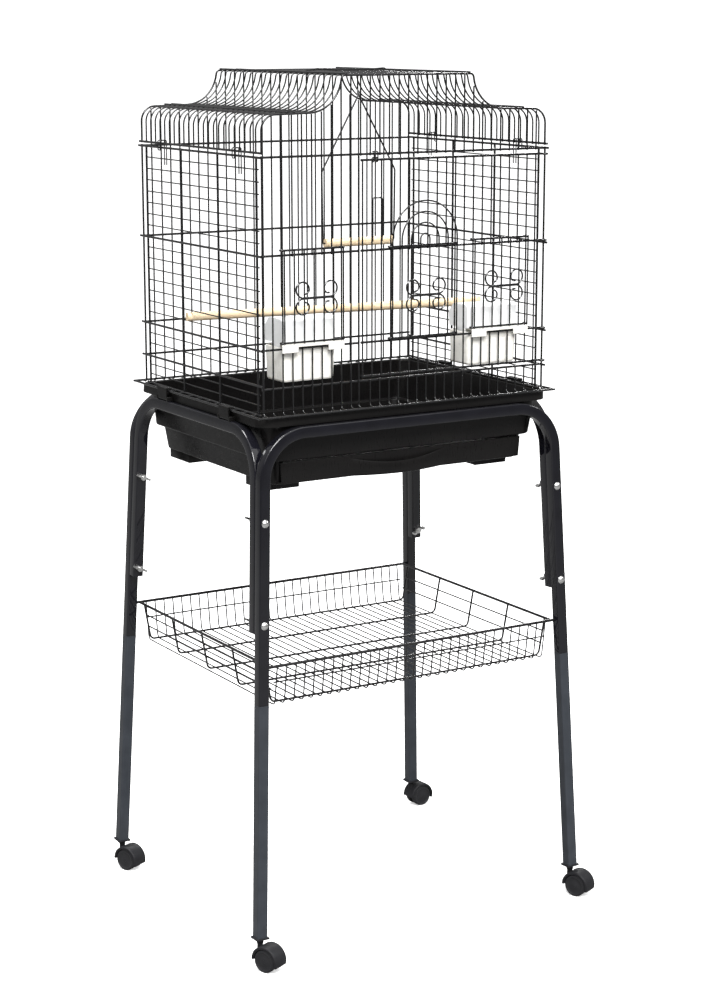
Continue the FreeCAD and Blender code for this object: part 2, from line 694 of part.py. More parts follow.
def base_clip(sx, y):
    """Catch that turns up over the flange wire, on moulded pins."""
    ax = CLIP_AXIS_X
    az = CLIP_AXIS_Z
    y0 = y - CLIP_HALF
    span = V(0, 2 * CLIP_HALF, 0)
    barrel = Part.makeCylinder(2.3, 2 * CLIP_HALF, V(ax, y0, az), V(0, 1, 0))
    arm = prism([(ax + 0.6, y0, az), (ax + 2.3, y0, az), (ax + 2.9, y0, az + 13.5),
                 (ax + 1.0, y0, az + 13.5)], (0, 2 * CLIP_HALF, 0))
    inner = 14.3
    outer = 16.2
    a0 = math.radians(80)
    am = math.radians(95)
    a1 = math.radians(110)
    pts = [V(ax + r * math.cos(t), y0, az + r * math.sin(t)) for r in (inner, outer) for t in (a0, am, a1)]
    flange = Part.Wire([Part.Arc(pts[0], pts[1], pts[2]).toShape(), Part.makeLine(pts[2], pts[5]),
                        Part.Arc(pts[5], pts[4], pts[3]).toShape(), Part.makeLine(pts[3], pts[0])])
    hook = Part.Face(flange).extrude(span)
    arm2 = prism([(ax + 1.0, y0, az + 13.0), (ax + 2.9, y0, az + 13.0), (ax + 2.9, y0, az + 15.6),
                  (ax + 1.0, y0, az + 15.6)], (0, 2 * CLIP_HALF, 0))
    pins = Part.makeCylinder(PIN_D / 2, 2 * CLIP_HALF + 6.6, V(ax, y0 - 3.3, az), V(0, 1, 0))
    s = weld([barrel, arm, arm2, hook, pins])
    if sx < 0:
        s = s.mirror(V(0, 0, 0), V(1, 0, 0))
    return s


for name, sx, sy in CORNERS:
    keep("base_clip_" + name, base_clip(sx, sy * CLIP_Y))


# ===========================================================================
# Stand
# ===========================================================================
leg_dx = (LEG_FOOT_X - LEG_TOP_X) / (LEG_TOP_Z - LEG_FOOT_Z)
leg_dy = (LEG_FOOT_Y - LEG_TOP_Y) / (LEG_TOP_Z - LEG_FOOT_Z)


def leg_x_at(z):
    return LEG_TOP_X + (LEG_TOP_Z - z) * leg_dx


def leg_y_at(z):
    return LEG_TOP_Y + (LEG_TOP_Z - z) * leg_dy


def square_wire(centre, u, v, half, r):
    """Rounded square section spanned by the unit vectors u and v."""
    c = V(*centre)
    pts = [c - v * half, c + u * half - v * half, c + u * half + v * half,
           c - u * half + v * half, c - u * half - v * half, c - v * half]
    return Part.Wire(bend_path([(p.x, p.y, p.z) for p in pts], r))


def u_frame(half_top, leg_slope, length):
    """Inverted U of square tube in the XZ plane, rail centre on z = 0."""
    down = V(leg_slope, 0, -1).normalize()
    foot = V(half_top, 0, 0) + down * length
    start = (-foot.x, 0, foot.z)
    path = bend_path([start, (-half_top, 0, 0), (half_top, 0, 0), (foot.x, 0, foot.z)], BEND_R)
    wire = Part.Wire(path)
    along = V(leg_slope, 0, 1).normalize()
    u = V(0, 1, 0)
    v = along.cross(u)
    tubes = []
    for half, r in ((TUBE / 2, TUBE_R), (TUBE / 2 - TUBE_WALL, TUBE_R - TUBE_WALL)):
        tubes.append(wire.makePipeShell([square_wire(start, u, v, half, r)], True, False))
    return tubes[0].cut(tubes[1])


def place_front(shape, side):
    """Tilt a front frame so its legs splay along Y, then move it out."""
    s = shape.copy()
    s.rotate(V(0, 0, 0), V(1, 0, 0), -math.degrees(math.atan(leg_dy)))
    s.translate(V(0, -leg_y_at(RAIL_CENTRE_Z), RAIL_CENTRE_Z))
    if side > 0:
        s = s.mirror(V(0, 0, 0), V(0, 1, 0))
    return s


tilt = math.atan(leg_dy)
main_len = (RAIL_CENTRE_Z - SEAM_Z) * math.sqrt(1 + leg_dx ** 2 + leg_dy ** 2)
main_slope = leg_dx * math.cos(tilt)
main_half = leg_x_at(RAIL_CENTRE_Z)
main = u_frame(main_half, main_slope, main_len)

side_gap = (TUBE + 0.15) / math.cos(tilt)
side_y = leg_y_at(RAIL_CENTRE_Z) - side_gap
turn = math.atan(leg_dx)
side_len = (RAIL_CENTRE_Z - SIDE_END_Z) * math.sqrt(1 + leg_dx ** 2 + leg_dy ** 2)
side_u = u_frame(side_y, leg_dy * math.cos(turn), side_len)
side_u.rotate(V(0, 0, 0), V(0, 0, 1), 90)
side_u.rotate(V(0, 0, 0), V(0, 1, 0), math.degrees(turn))
side_u.translate(V(-leg_x_at(RAIL_CENTRE_Z), 0, RAIL_CENTRE_Z))
side_frames = {-1: side_u, 1: side_u.mirror(V(0, 0, 0), V(1, 0, 0))}

# Bolts run square to the front frame, through both tubes
normal = V(0, math.cos(tilt), -math.sin(tilt))
BOLT_D = 5.0
bolts = []
nuts = []
holes = []


def make_bolt():
    shank = rod((0, 0, 0), (0, TUBE * 2 + 9.0, 0), BOLT_D)
    dome = Part.makeSphere(7.0, V(0, 4.1, 0)).common(box(-8, 8, -4, 0.0, -8, 8))
    head = dome.common(rod((0, -4, 0), (0, 0.0, 0), 11.4))
    return weld([shank, head])


def make_nut():
    hub = rod((0, 0, 0), (0, 6.0, 0), 9.0)
    wings = []
    for s in (-1, 1):
        wings.append(box(min(2.0 * s, 7.0 * s), max(2.0 * s, 7.0 * s), 1.0, 5.6, -1.6, 1.6))
        wings.append(box(min(6.0 * s, 10.6 * s), max(6.0 * s, 10.6 * s), 1.6, 9.5, -1.5, 1.5))
    return weld([hub] + wings).cut(rod((0, -1, 0), (0, 12, 0), BOLT_D + 0.1))


def place_bolt(shape, z, sx, sy, depth, spin=0.0):
    s = shape.copy()
    if spin:
        s.rotate(V(0, 0, 0), V(0, 1, 0), spin)
    s.rotate(V(0, 0, 0), V(1, 0, 0), -math.degrees(tilt))
    p = V(-leg_x_at(z), -leg_y_at(z), z) + normal * depth
    s.translate(p)
    if sx > 0:
        s = s.mirror(V(0, 0, 0), V(1, 0, 0))
    if sy > 0:
        s = s.mirror(V(0, 0, 0), V(0, 1, 0))
    return s


for sx in (-1, 1):
    for sy in (-1, 1):
        for z in BOLT_Z:
            bolts.append(place_bolt(make_bolt(), z, sx, sy, -TUBE / 2 - 0.03))
            nuts.append(place_bolt(make_nut(), z, sx, sy, TUBE * 1.5 + 0.25, 25.0))
            drill = rod((0, -3, 0), (0, TUBE * 2 + 6, 0), BOLT_D + 0.2)
            holes.append(place_bolt(drill, z, sx, sy, -TUBE / 2))
keep("stand_bolts", bolts)
keep("stand_wing_nuts", nuts)

BASKET_Z = 428.0
BASKET_Y = 205.0
PEG_D = 4.2
peg_hole = rod((-262, 0, 0), (262, 0, 0), PEG_D + 0.6)
for name, sy in (("stand_front_frame", -1), ("stand_back_frame", 1)):
    f = place_front(main, sy)
    core = box(-248, 248, -260, 260, 400, 460)
    pegs = peg_hole.copy()
    pegs.translate(V(0, BASKET_Y * sy, BASKET_Z))
    f = f.cut(pegs.common(core))
    for h in holes:
        if h.BoundBox.intersect(f.BoundBox):
            f = f.cut(h)
    keep(name, f)
for name, sx in (("stand_side_frame_left", -1), ("stand_side_frame_right", 1)):
    f = side_frames[sx]
    for h in holes:
        if h.BoundBox.intersect(f.BoundBox):
            f = f.cut(h)
    keep(name, f)


def lower_leg():
    """Front left lower leg with its narrowed neck, before mirroring."""
    d = V(-leg_dx, -leg_dy, -1).normalize()
    u = V(1, 0, 0)
    u = (u - d * u.dot(d)).normalize()
    v = d.cross(u)
    start = V(-leg_x_at(SEAM_Z - 0.1), -leg_y_at(SEAM_Z - 0.1), SEAM_Z - 0.1)
    length = (SEAM_Z - 0.1 - LEG_END_Z) / abs(d.z)

    def bar(p, half, r, length_mm):
        return Part.Face(square_wire(p, u, v, half, r)).extrude(d * length_mm)

    body = bar(start, TUBE / 2, TUBE_R, length)
    neck_top = start - d * 38.0
    neck = bar(neck_top, TUBE / 2 - TUBE_WALL - 0.12, 1.0, 44.0)
    bore_top = bar(neck_top - d, TUBE / 2 - TUBE_WALL - 1.3, 0.8, 60.0)
    bore = bar(start + d * 6.0, TUBE / 2 - TUBE_WALL, 0.8, length)
    return weld([body, neck]).cut(bore_top).cut(bore)


one_leg = lower_leg()
# The front tubes are twisted by a hair against the lower legs, which the
# neck clearance takes up.
for name, sx, sy in CORNERS:
    s = one_leg.copy()
    if sx > 0:
        s = s.mirror(V(0, 0, 0), V(1, 0, 0))
    if sy > 0:
        s = s.mirror(V(0, 0, 0), V(0, 1, 0))
    keep("lower_leg_" + name, s)


# ===========================================================================
# Wire basket
# ===========================================================================
BASKET_X = 236.0
BASKET_BOTTOM = 373.0
BASKET_IN = 10.0
basket = []
for s in (-1, 1):
    basket.append(rod((-250.5, BASKET_Y * s, BASKET_Z), (250.5, BASKET_Y * s, BASKET_Z), PEG_D))
    basket.append(rod_y(BASKET_X * s, BASKET_Y - 0.5, BASKET_Z, PEG_D - 0.2))
CROSS_D = 3.0
WEB_D = 2.0
for k in range(5):
    y = -188.0 + 94.0 * k
    basket.append(bent([(-BASKET_X, y, BASKET_Z), (-BASKET_X + BASKET_IN, y, BASKET_BOTTOM),
                        (BASKET_X - BASKET_IN, y, BASKET_BOTTOM), (BASKET_X, y, BASKET_Z)], 8.0, CROSS_D))
web_z = BASKET_BOTTOM - (CROSS_D + WEB_D) / 2 + WELD
for k in range(-15, 16):
    x = 15.0 * k
    basket.append(bent([(x, -BASKET_Y, BASKET_Z), (x, -BASKET_Y + 8, web_z), (x, BASKET_Y - 8, web_z),
                        (x, BASKET_Y, BASKET_Z)], 8.0, WEB_D))
for s in (-1, 1):
    zm = 404.0
    ym = BASKET_Y - 8 * (BASKET_Z - zm) / (BASKET_Z - web_z)
    basket.append(rod((-228.0, (ym - 1.9) * s, zm), (228.0, (ym - 1.9) * s, zm), WEB_D + 0.2))
    for zs in (410.0, 392.0):
        xm = BASKET_X - BASKET_IN * (BASKET_Z - zs) / (BASKET_Z - BASKET_BOTTOM)
        basket.append(rod(((xm - 2.4) * s, -190, zs), ((xm - 2.4) * s, 190, zs), WEB_D + 0.2))
keep("wire_basket", weld(basket))


# ===========================================================================
# Casters
# ===========================================================================
def caster(trail):
    """Housing, wheels, axle and plug for a caster whose wheels trail this way."""
    t = V(trail[0], trail[1], 0).normalize()
    w = V(-t.y, t.x, 0)
    top = LEG_END_Z - 3.2
    hub = t * CASTER_TRAIL + V(0, 0, WHEEL_Z)

    def disc(r, a, b):
        return Part.makeCylinder(r, b - a, hub + w * a, w)

    neck = Part.makeCylinder(4.2, top - 26, V(0, 0, 26))
    stem = Part.makeCylinder(3.0, 20.0, V(0, 0, top - 0.5))
    hood = disc(HOOD_R, -13.0, 13.0)
    body = weld([neck, hood, stem])
    body = body.cut(disc(POCKET_R, 2.5, 16.0)).cut(disc(POCKET_R, -16.0, -2.5))
    under = Part.makeBox(80, 80, 60, V(-40, -40, -60))
    under.rotate(V(0, 0, 0), V(0, 1, 0), 8.0)
    under.translate(V(0, 0, WHEEL_Z - 3.0))
    under.rotate(V(0, 0, 0), V(0, 0, 1), math.degrees(math.atan2(t.y, t.x)))
    under.translate(t * CASTER_TRAIL)
    body = body.cut(under)
    boss = disc(4.6, -2.5, 2.5)
    body = weld([body, boss]).cut(disc(2.08, -5, 5))
    wheels = []
    for s in (-1, 1):
        wheel = disc(WHEEL_R, min(3.0 * s, 12.4 * s), max(3.0 * s, 12.4 * s))
        rims = [e for e in wheel.Edges if abs(e.Length - 2 * math.pi * WHEEL_R) < 0.01]
        wheel = wheel.makeFillet(1.2, rims)
        wheel = wheel.cut(disc(2.01, min(1.0 * s, 11.0 * s), max(1.0 * s, 11.0 * s)))
        dish = disc(WHEEL_R - 4.0, min(11.8 * s, 13.0 * s), max(11.8 * s, 13.0 * s))
        wheels.append(wheel.cut(dish))
    axle = disc(2.0, -10.9, 10.9)
    return body, wheels, axle


def plug():
    """Square plug in the foot of the leg, with an upright hole for the stem."""
    d = V(-leg_dx, -leg_dy, -1).normalize()
    u = V(1, 0, 0)
    u = (u - d * u.dot(d)).normalize()
    v = d.cross(u)
    foot = V(-leg_x_at(LEG_END_Z), -leg_y_at(LEG_END_Z), LEG_END_Z)
    under = foot + d * 0.05
    inside = foot - d * 22.0
    plate = Part.Face(square_wire(under, u, v, 10.2, 1.5)).extrude(d * 2.0)
    core = Part.Face(square_wire(inside, u, v, TUBE / 2 - TUBE_WALL - 0.1, 0.8)).extrude(d * 23.0)
    hole = Part.makeCylinder(3.08, 60, V(foot.x, foot.y, 20))
    return weld([plate, core]).cut(hole)


TRAILS = {"front_left": (0.407, -0.914), "back_left": (0.407, -0.914),
          "front_right": (0.407, -0.914), "back_right": (1.0, 0.07)}
plugs = []
one_plug = plug()
for name, sx, sy in CORNERS:
    body, wheels, axle = caster(TRAILS[name])
    move = V(leg_x_at(LEG_END_Z) * sx, leg_y_at(LEG_END_Z) * sy, 0)
    for s in [body] + wheels + [axle]:
        s.translate(move)
    keep("caster_housing_" + name, body)
    keep("caster_wheels_" + name, wheels)
    keep("caster_axle_" + name, axle)
    s = one_plug.copy()
    if sx > 0:
        s = s.mirror(V(0, 0, 0), V(1, 0, 0))
    if sy > 0:
        s = s.mirror(V(0, 0, 0), V(0, 1, 0))
    plugs.append(s)
keep("caster_plugs", plugs)


# ===========================================================================
# Origin and export
# ===========================================================================
low = V(1e9, 1e9, 1e9)
high = V(-1e9, -1e9, -1e9)
for name, solids in NODES.items():
    for s in solids:
        b = s.optimalBoundingBox(False)
        low = V(min(low.x, b.XMin), min(low.y, b.YMin), min(low.z, b.ZMin))
        high = V(max(high.x, b.XMax), max(high.y, b.YMax), max(high.z, b.ZMax))
shift = V(-(low.x + high.x) / 2, -(low.y + high.y) / 2, -low.z)
print("shift", round(shift.x, 4), round(shift.y, 4), round(shift.z, 4))
print("size", round(high.x - low.x, 2), round(high.y - low.y, 2), round(high.z - low.z, 2))

for name, solids in NODES.items():
    for s in solids:
        s.translate(shift)
        if not s.isValid():
            print("INVALID", name)
    shape = solids[0] if len(solids) == 1 else Part.makeCompound(solids)
    shape.exportStep("parts/%s.step" % name)
    print(name, len(solids), round(sum(s.Volume for s in solids), 1))
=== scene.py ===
import json
import math

import bmesh
import bpy
from mathutils import Matrix, Vector


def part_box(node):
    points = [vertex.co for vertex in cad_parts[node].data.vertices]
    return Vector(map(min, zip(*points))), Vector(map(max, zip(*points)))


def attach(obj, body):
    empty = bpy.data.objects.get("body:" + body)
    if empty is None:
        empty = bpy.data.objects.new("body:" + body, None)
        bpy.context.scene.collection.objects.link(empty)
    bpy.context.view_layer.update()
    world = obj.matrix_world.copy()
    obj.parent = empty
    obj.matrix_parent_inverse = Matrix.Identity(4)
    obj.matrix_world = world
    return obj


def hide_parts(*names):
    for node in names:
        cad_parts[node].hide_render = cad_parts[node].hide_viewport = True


# Looks of a wire bird cage on a wheeled tube stand. Metres, +Z up, front
# towards -Y. Sizes are millimetres about the cage's axis, which is taken from
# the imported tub. Legs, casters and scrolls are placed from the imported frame.

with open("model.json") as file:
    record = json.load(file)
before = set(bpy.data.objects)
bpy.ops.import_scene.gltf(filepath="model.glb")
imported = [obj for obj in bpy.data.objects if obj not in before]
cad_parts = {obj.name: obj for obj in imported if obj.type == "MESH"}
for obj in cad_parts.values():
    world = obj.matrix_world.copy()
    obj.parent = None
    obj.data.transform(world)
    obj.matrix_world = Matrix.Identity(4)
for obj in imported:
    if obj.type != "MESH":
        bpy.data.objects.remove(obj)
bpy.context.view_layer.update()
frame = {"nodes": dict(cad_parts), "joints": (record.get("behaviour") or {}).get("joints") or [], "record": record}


def span(node):
    """Lowest corner, highest corner and centre of a CAD node."""
    lo, hi = (Vector(c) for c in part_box(node))
    return lo, hi, (lo + hi) / 2


# ---------------------------------------------------------------------------
# Materials
# ---------------------------------------------------------------------------
DUST = (0.10, 0.098, 0.095)
DUST_COVER = 0.05


def fill_ramp(ramp, stops):
    """Give a colour ramp its (place, colour) stops."""
    while len(ramp.elements) < len(stops):
        ramp.elements.new(0.5)
    for element, (place, colour) in zip(ramp.elements, stops):
        element.position = place
        element.color = (*colour, 1)


class Shader:
    """A Principled material and the few node patterns used below."""

    def __init__(self, name):
        self.mat = bpy.data.materials.new(name)
        self.mat.use_nodes = True
        self.tree = self.mat.node_tree
        self.bsdf = self.tree.nodes["Principled BSDF"]
        self.coords = self.add("ShaderNodeTexCoord").outputs["Object"]

    def add(self, kind, **settings):
        node = self.tree.nodes.new(kind)
        for key, value in settings.items():
            setattr(node, key, value)
        return node

    def link(self, a, b):
        self.tree.links.new(a, b)

    def set(self, **values):
        for key, value in values.items():
            self.bsdf.inputs[key.replace("_", " ")].default_value = value

    def stretched(self, scale):
        node = self.add("ShaderNodeMapping")
        node.inputs["Scale"].default_value = scale
        self.link(self.coords, node.inputs["Vector"])
        return node.outputs["Vector"]

    def noise(self, scale, detail=3.0, rough=0.5, stretch=None):
        node = self.add("ShaderNodeTexNoise")
        node.inputs["Scale"].default_value = scale
        node.inputs["Detail"].default_value = detail
        node.inputs["Roughness"].default_value = rough
        self.link(self.stretched(stretch) if stretch else self.coords, node.inputs["Vector"])
        return node.outputs["Fac"]

    def remap(self, value, low, high, from_low=0.3, from_high=0.7):
        node = self.add("ShaderNodeMapRange")
        node.inputs["From Min"].default_value = from_low
        node.inputs["From Max"].default_value = from_high
        node.inputs["To Min"].default_value = low
        node.inputs["To Max"].default_value = high
        self.link(value, node.inputs["Value"])
        return node.outputs["Result"]

    def ramp(self, value, stops):
        node = self.add("ShaderNodeValToRGB")
        fill_ramp(node.color_ramp, stops)
        self.link(value, node.inputs["Fac"])
        return node.outputs["Color"]

    def mix(self, factor, a, b):
        node = self.add("ShaderNodeMix", data_type="RGBA")
        self.link(factor, node.inputs["Factor"])
        for socket, value in (("A", a), ("B", b)):
            slot = [s for s in node.inputs if s.name == socket and s.type == "RGBA"][0]
            if isinstance(value, tuple):
                slot.default_value = (*value, 1)
            else:
                self.link(value, slot)
        return [s for s in node.outputs if s.type == "RGBA"][0]

    def colour(self, value):
        self.link(value, self.bsdf.inputs["Base Color"])

    def roughness(self, value):
        self.link(value, self.bsdf.inputs["Roughness"])

    def bumps(self, *layers):
        """Each layer is (height, strength, distance in metres)."""
        normal = None
        for height, strength, distance in layers:
            node = self.add("ShaderNodeBump")
            node.inputs["Strength"].default_value = strength
            node.inputs["Distance"].default_value = distance
            self.link(height, node.inputs["Height"])
            if normal:
                self.link(normal, node.inputs["Normal"])
            normal = node.outputs["Normal"]
        self.link(normal, self.bsdf.inputs["Normal"])

    def dust(self, base):
        """A little dust on faces that look up."""
        geometry = self.add("ShaderNodeNewGeometry")
        split = self.add("ShaderNodeSeparateXYZ")
        self.link(geometry.outputs["Normal"], split.inputs["Vector"])
        up = self.remap(split.outputs["Z"], 0.0, DUST_COVER, 0.6, 1.0)
        patch = self.remap(self.noise(55, 4), 0.2, 1.0, 0.35, 0.65)
        both = self.add("ShaderNodeMath", operation="MULTIPLY")
        self.link(up, both.inputs[0])
        self.link(patch, both.inputs[1])
        return self.mix(both.outputs["Value"], base, DUST)


def coated_metal(name, dark, light, rough, peel, coat=0.0, gloss=0.2):
    """Powder coat: orange peel, a trace of clouding and fine rubbed lines."""
    s = Shader(name)
    s.set(Coat_Weight=coat, Coat_Roughness=0.05, Specular_IOR_Level=gloss)
    cloud = s.noise(38, 4)
    base = s.mix(s.remap(cloud, 0, 1), dark, light)
    s.colour(s.dust(base))
    rub = s.noise(60, 5, 0.7, (1.0, 1.0, 9.0))
    s.roughness(s.remap(rub, rough[0], rough[1], 0.3, 0.72))
    s.bumps((s.noise(420, 2), peel, 0.0004), (s.noise(1500, 2), peel * 0.5, 0.0001))
    return s.mat


def moulded(name, dark, light, rough, grain, gloss=0.2, coat=0.0):
    """Moulded plastic: spark-eroded grain, flow marks and faint scuffs."""
    s = Shader(name)
    s.set(Specular_IOR_Level=gloss, Coat_Weight=coat, Coat_Roughness=0.14)
    flow = s.noise(14, 5, 0.6, (1.0, 1.0, 2.5))
    base = s.mix(s.remap(flow, 0, 1), dark, light)
    s.colour(s.dust(base))
    scuff = s.noise(90, 6, 0.75, (5.0, 1.0, 1.0))
    s.roughness(s.remap(scuff, rough[0], rough[1], 0.32, 0.72))
    s.bumps((s.noise(900, 3, 0.6), grain, 0.0003), (flow, 0.12, 0.0015))
    return s.mat


def dowel_wood(name):
    """Bare beech dowel: long grain, short flecks and a few darker streaks."""
    s = Shader(name)
    s.set(Specular_IOR_Level=0.35)
    grain = s.noise(1.0, 5, 0.62, (14.0, 420.0, 420.0))
    broad = s.noise(1.0, 3, 0.5, (3.0, 90.0, 90.0))
    fleck = s.noise(1.0, 2, 0.5, (160.0, 1400.0, 1400.0))
    pale = s.ramp(grain, [(0.28, (0.66, 0.47, 0.27)), (0.5, (0.84, 0.67, 0.45)),
                          (0.75, (0.92, 0.79, 0.58))])
    warm = s.mix(s.remap(broad, 0, 0.4, 0.4, 0.7), pale, (0.78, 0.57, 0.35))
    s.colour(s.mix(s.remap(fleck, 0, 0.3, 0.6, 0.75), warm, (0.52, 0.34, 0.18)))
    s.roughness(s.remap(grain, 0.5, 0.72))
    s.bumps((grain, 0.35, 0.0004), (fleck, 0.2, 0.0002))
    return s.mat


def plated(name, tone, rough):
    """Bright zinc: soft spangle and turning lines."""
    s = Shader(name)
    s.set(Metallic=1.0)
    spangle = s.noise(240, 4)
    s.colour(s.mix(s.remap(spangle, 0, 1), tone, tuple(c * 0.78 for c in tone)))
    s.roughness(s.remap(s.noise(700, 3, 0.6), rough[0], rough[1]))
    s.bumps((spangle, 0.15, 0.0002))
    return s.mat


def feeder_white(name):
    """Cream polystyrene, a little translucent, with drag lines from the mould."""
    s = Shader(name)
    s.set(Specular_IOR_Level=0.5, Subsurface_Weight=0.15, Subsurface_Scale=0.004,
          Subsurface_Radius=(1.0, 0.95, 0.85))
    drag = s.noise(30, 4, 0.6, (1.0, 1.0, 5.0))
    s.colour(s.mix(s.remap(drag, 0, 1), (0.90, 0.885, 0.84), (0.83, 0.81, 0.75)))
    s.roughness(s.remap(s.noise(120, 5, 0.7), 0.22, 0.42))
    s.bumps((s.noise(700, 2), 0.06, 0.0002), (drag, 0.1, 0.001))
    return s.mat


def feeder_clear(name):
    """Milky clear plastic of the feeder hoods, faintly scuffed by beaks."""
    s = Shader(name)
    s.set(Specular_IOR_Level=0.5, Transmission_Weight=0.2, IOR=1.3, Subsurface_Weight=0.15,
          Subsurface_Scale=0.003, Subsurface_Radius=(1.0, 1.0, 1.0))
    haze = s.noise(14, 3, 0.5)
    s.colour(s.mix(s.remap(haze, 0, 1), (0.95, 0.955, 0.95), (0.90, 0.91, 0.91)))
    s.roughness(s.remap(s.noise(60, 4, 0.6, (1.0, 1.0, 5.0)), 0.30, 0.42))
    s.bumps((haze, 0.05, 0.001))
    return s.mat


LOOKS = {
    "gloss_black_tube": coated_metal("gloss_black_tube", (0.0035, 0.0035, 0.0055), (0.006, 0.006, 0.009),
                                     (0.12, 0.24), 0.05, coat=0.9, gloss=0.08),
    "slate_tube": coated_metal("slate_tube", (0.031, 0.035, 0.042), (0.042, 0.047, 0.056),
                               (0.28, 0.42), 0.22, coat=0.05),
    "black_wire": coated_metal("black_wire", (0.004, 0.004, 0.0045), (0.008, 0.008, 0.0085),
                               (0.16, 0.30), 0.3, coat=0.7, gloss=0.25),
    "tub_plastic": moulded("tub_plastic", (0.0055, 0.0052, 0.0052), (0.0085, 0.008, 0.0078),
                           (0.24, 0.40), 0.2, gloss=0.12, coat=0.12),
    "cream_plastic": feeder_white("cream_plastic"),
    "clear_plastic": feeder_clear("clear_plastic"),
    "wood": dowel_wood("wood"),
    "zinc": plated("zinc", (0.78, 0.78, 0.77), (0.18, 0.36)),
    "caster_plastic": moulded("caster_plastic", (0.012, 0.012, 0.014), (0.018, 0.018, 0.020),
                              (0.38, 0.55), 0.45),
    "wheel_plastic": moulded("wheel_plastic", (0.018, 0.018, 0.020), (0.026, 0.026, 0.028),
                             (0.30, 0.5), 0.35),
    "axle_steel": plated("axle_steel", (0.6, 0.6, 0.61), (0.25, 0.45)),
}

slot_of = {p["node"]: p["material_slot"] for p in frame["record"]["subparts"]}
for node, slot in slot_of.items():
    thing = frame["nodes"][node]
    thing.data.materials.clear()
    thing.data.materials.append(LOOKS[slot])

body_of = {node: body for body, nodes in frame["record"]["behaviour"]["bodies"].items() for node in nodes}

# ---------------------------------------------------------------------------
# Places: millimetres about the cage's own axis, as the CAD is laid out
# ---------------------------------------------------------------------------
mm = 0.001
tub_lo, tub_hi, tub_mid = span("base_tub")
TUB_TOP = 768.3
LEVEL = tub_hi.z - TUB_TOP * mm


def at(x, y, z):
    return Vector((tub_mid.x + x * mm, tub_mid.y + y * mm, LEVEL + z * mm))


# ---------------------------------------------------------------------------
# Mesh tools
# ---------------------------------------------------------------------------
def spaced(points, gap):
    """The points without those that repeat the one before."""
    out = [points[0]]
    for p in points[1:]:
        if (p - out[-1]).length > gap:
            out.append(p)
    return out


def fillet(points, radii=0.0, step=8):
    """Polyline with rounded corners, one point every few degrees."""
    pts = [Vector(p) for p in points]
    if not isinstance(radii, (list, tuple)):
        radii = [radii] * (len(pts) - 2)
    out = [pts[0]]
    for before, corner, after, r in zip(pts, pts[1:], pts[2:], radii):
        a = (before - corner).normalized()
        b = (after - corner).normalized()
        half = a.angle(b) / 2
        turn = math.pi - 2 * half
        if r <= 0 or turn < 1e-3:
            out.append(corner)
            continue
        reach = r / math.tan(half)
        centre = corner + (a + b).normalized() * (r / math.sin(half))
        arm = corner + a * reach - centre
        axis = arm.cross(corner + b * reach - centre).normalized()
        steps = max(2, math.ceil(math.degrees(turn) / step))
        for k in range(steps + 1):
            out.append(centre + Matrix.Rotation(turn * k / steps, 3, axis) @ arm)
    out.append(pts[-1])
    return spaced(out, 1e-6)


def arc(centre, radius, plane, start, end, step=10):
    """Points on an arc in plane xy, yz or xz, angles in degrees."""
    count = max(2, math.ceil(abs(end - start) / step))
    out = []
    for k in range(count + 1):
        t = math.radians(start + (end - start) * k / count)
        c = radius * math.cos(t)
        s = radius * math.sin(t)
        add = {"xy": (c, s, 0), "yz": (0, c, s), "xz": (c, 0, s)}[plane]
        out.append(Vector(centre) + Vector(add))
    return out


def circle(radius, sides=12):
    return [(radius * math.cos(2 * math.pi * k / sides), radius * math.sin(2 * math.pi * k / sides))
            for k in range(sides)]


def skin(bm, rings, closed=False):
    """Faces between successive rings of points, with flat ends."""
    rows = [[bm.verts.new(p) for p in ring] for ring in rings]
    pairs = list(zip(rows, rows[1:]))
    if closed:
        pairs.append((rows[-1], rows[0]))
    count = len(rows[0])
    for low, high in pairs:
        for k in range(count):
            n = (k + 1) % count
            bm.faces.new((low[k], low[n], high[n], high[k]))
    if not closed:
        bm.faces.new(rows[0][::-1])
        bm.faces.new(rows[-1])


def sweep(bm, path, section, normal=None, chamfer=0.0):
    """Skin a closed section of (u, v) points along a path of points."""
    last = len(path) - 1
    rings = []
    u = normal
    for i, p in enumerate(path):
        t = (path[min(i + 1, last)] - path[max(i - 1, 0)]).normalized()
        if normal is None:
            seed = u or (Vector((0, 0, 1)) if abs(t.z) < 0.9 else Vector((1, 0, 0)))
            u = (seed - t * seed.dot(t)).normalized()
        v = t.cross(u)
        spots = [(p, 1.0)]
        if chamfer and i == 0:
            spots = [(p, 0.7), (p + t * chamfer, 1.0)]
        if chamfer and i == last:
            spots = [(p - t * chamfer, 1.0), (p, 0.7)]
        for q, k in spots:
            rings.append([q + u * (a * k) + v * (b * k) for a, b in section])
    skin(bm, rings)


def square(half, r, steps=5):
    """Square section with rounded corners."""
    out = []
    for cx, cy, start in ((1, 1, 0), (-1, 1, 90), (-1, -1, 180), (1, -1, 270)):
        for k in range(steps + 1):
            t = math.radians(start + 90 * k / steps)
            out.append((cx * (half - r) + r * math.cos(t), cy * (half - r) + r * math.sin(t)))
    return out


def oblong(half_x, half_y, r, z, cx=0.0, cy=0.0, steps=7):
    """Ring of a rounded rectangle lying flat, in cage millimetres."""
    out = []
    for sx, sy, start in ((1, 1, 0), (-1, 1, 90), (-1, -1, 180), (1, -1, 270)):
        for k in range(steps + 1):
            t = math.radians(start + 90 * k / steps)
            x = cx + sx * (half_x - r) + r * math.cos(t)
            y = cy + sy * (half_y - r) + r * math.sin(t)
            out.append(at(x, y, z))
    return out


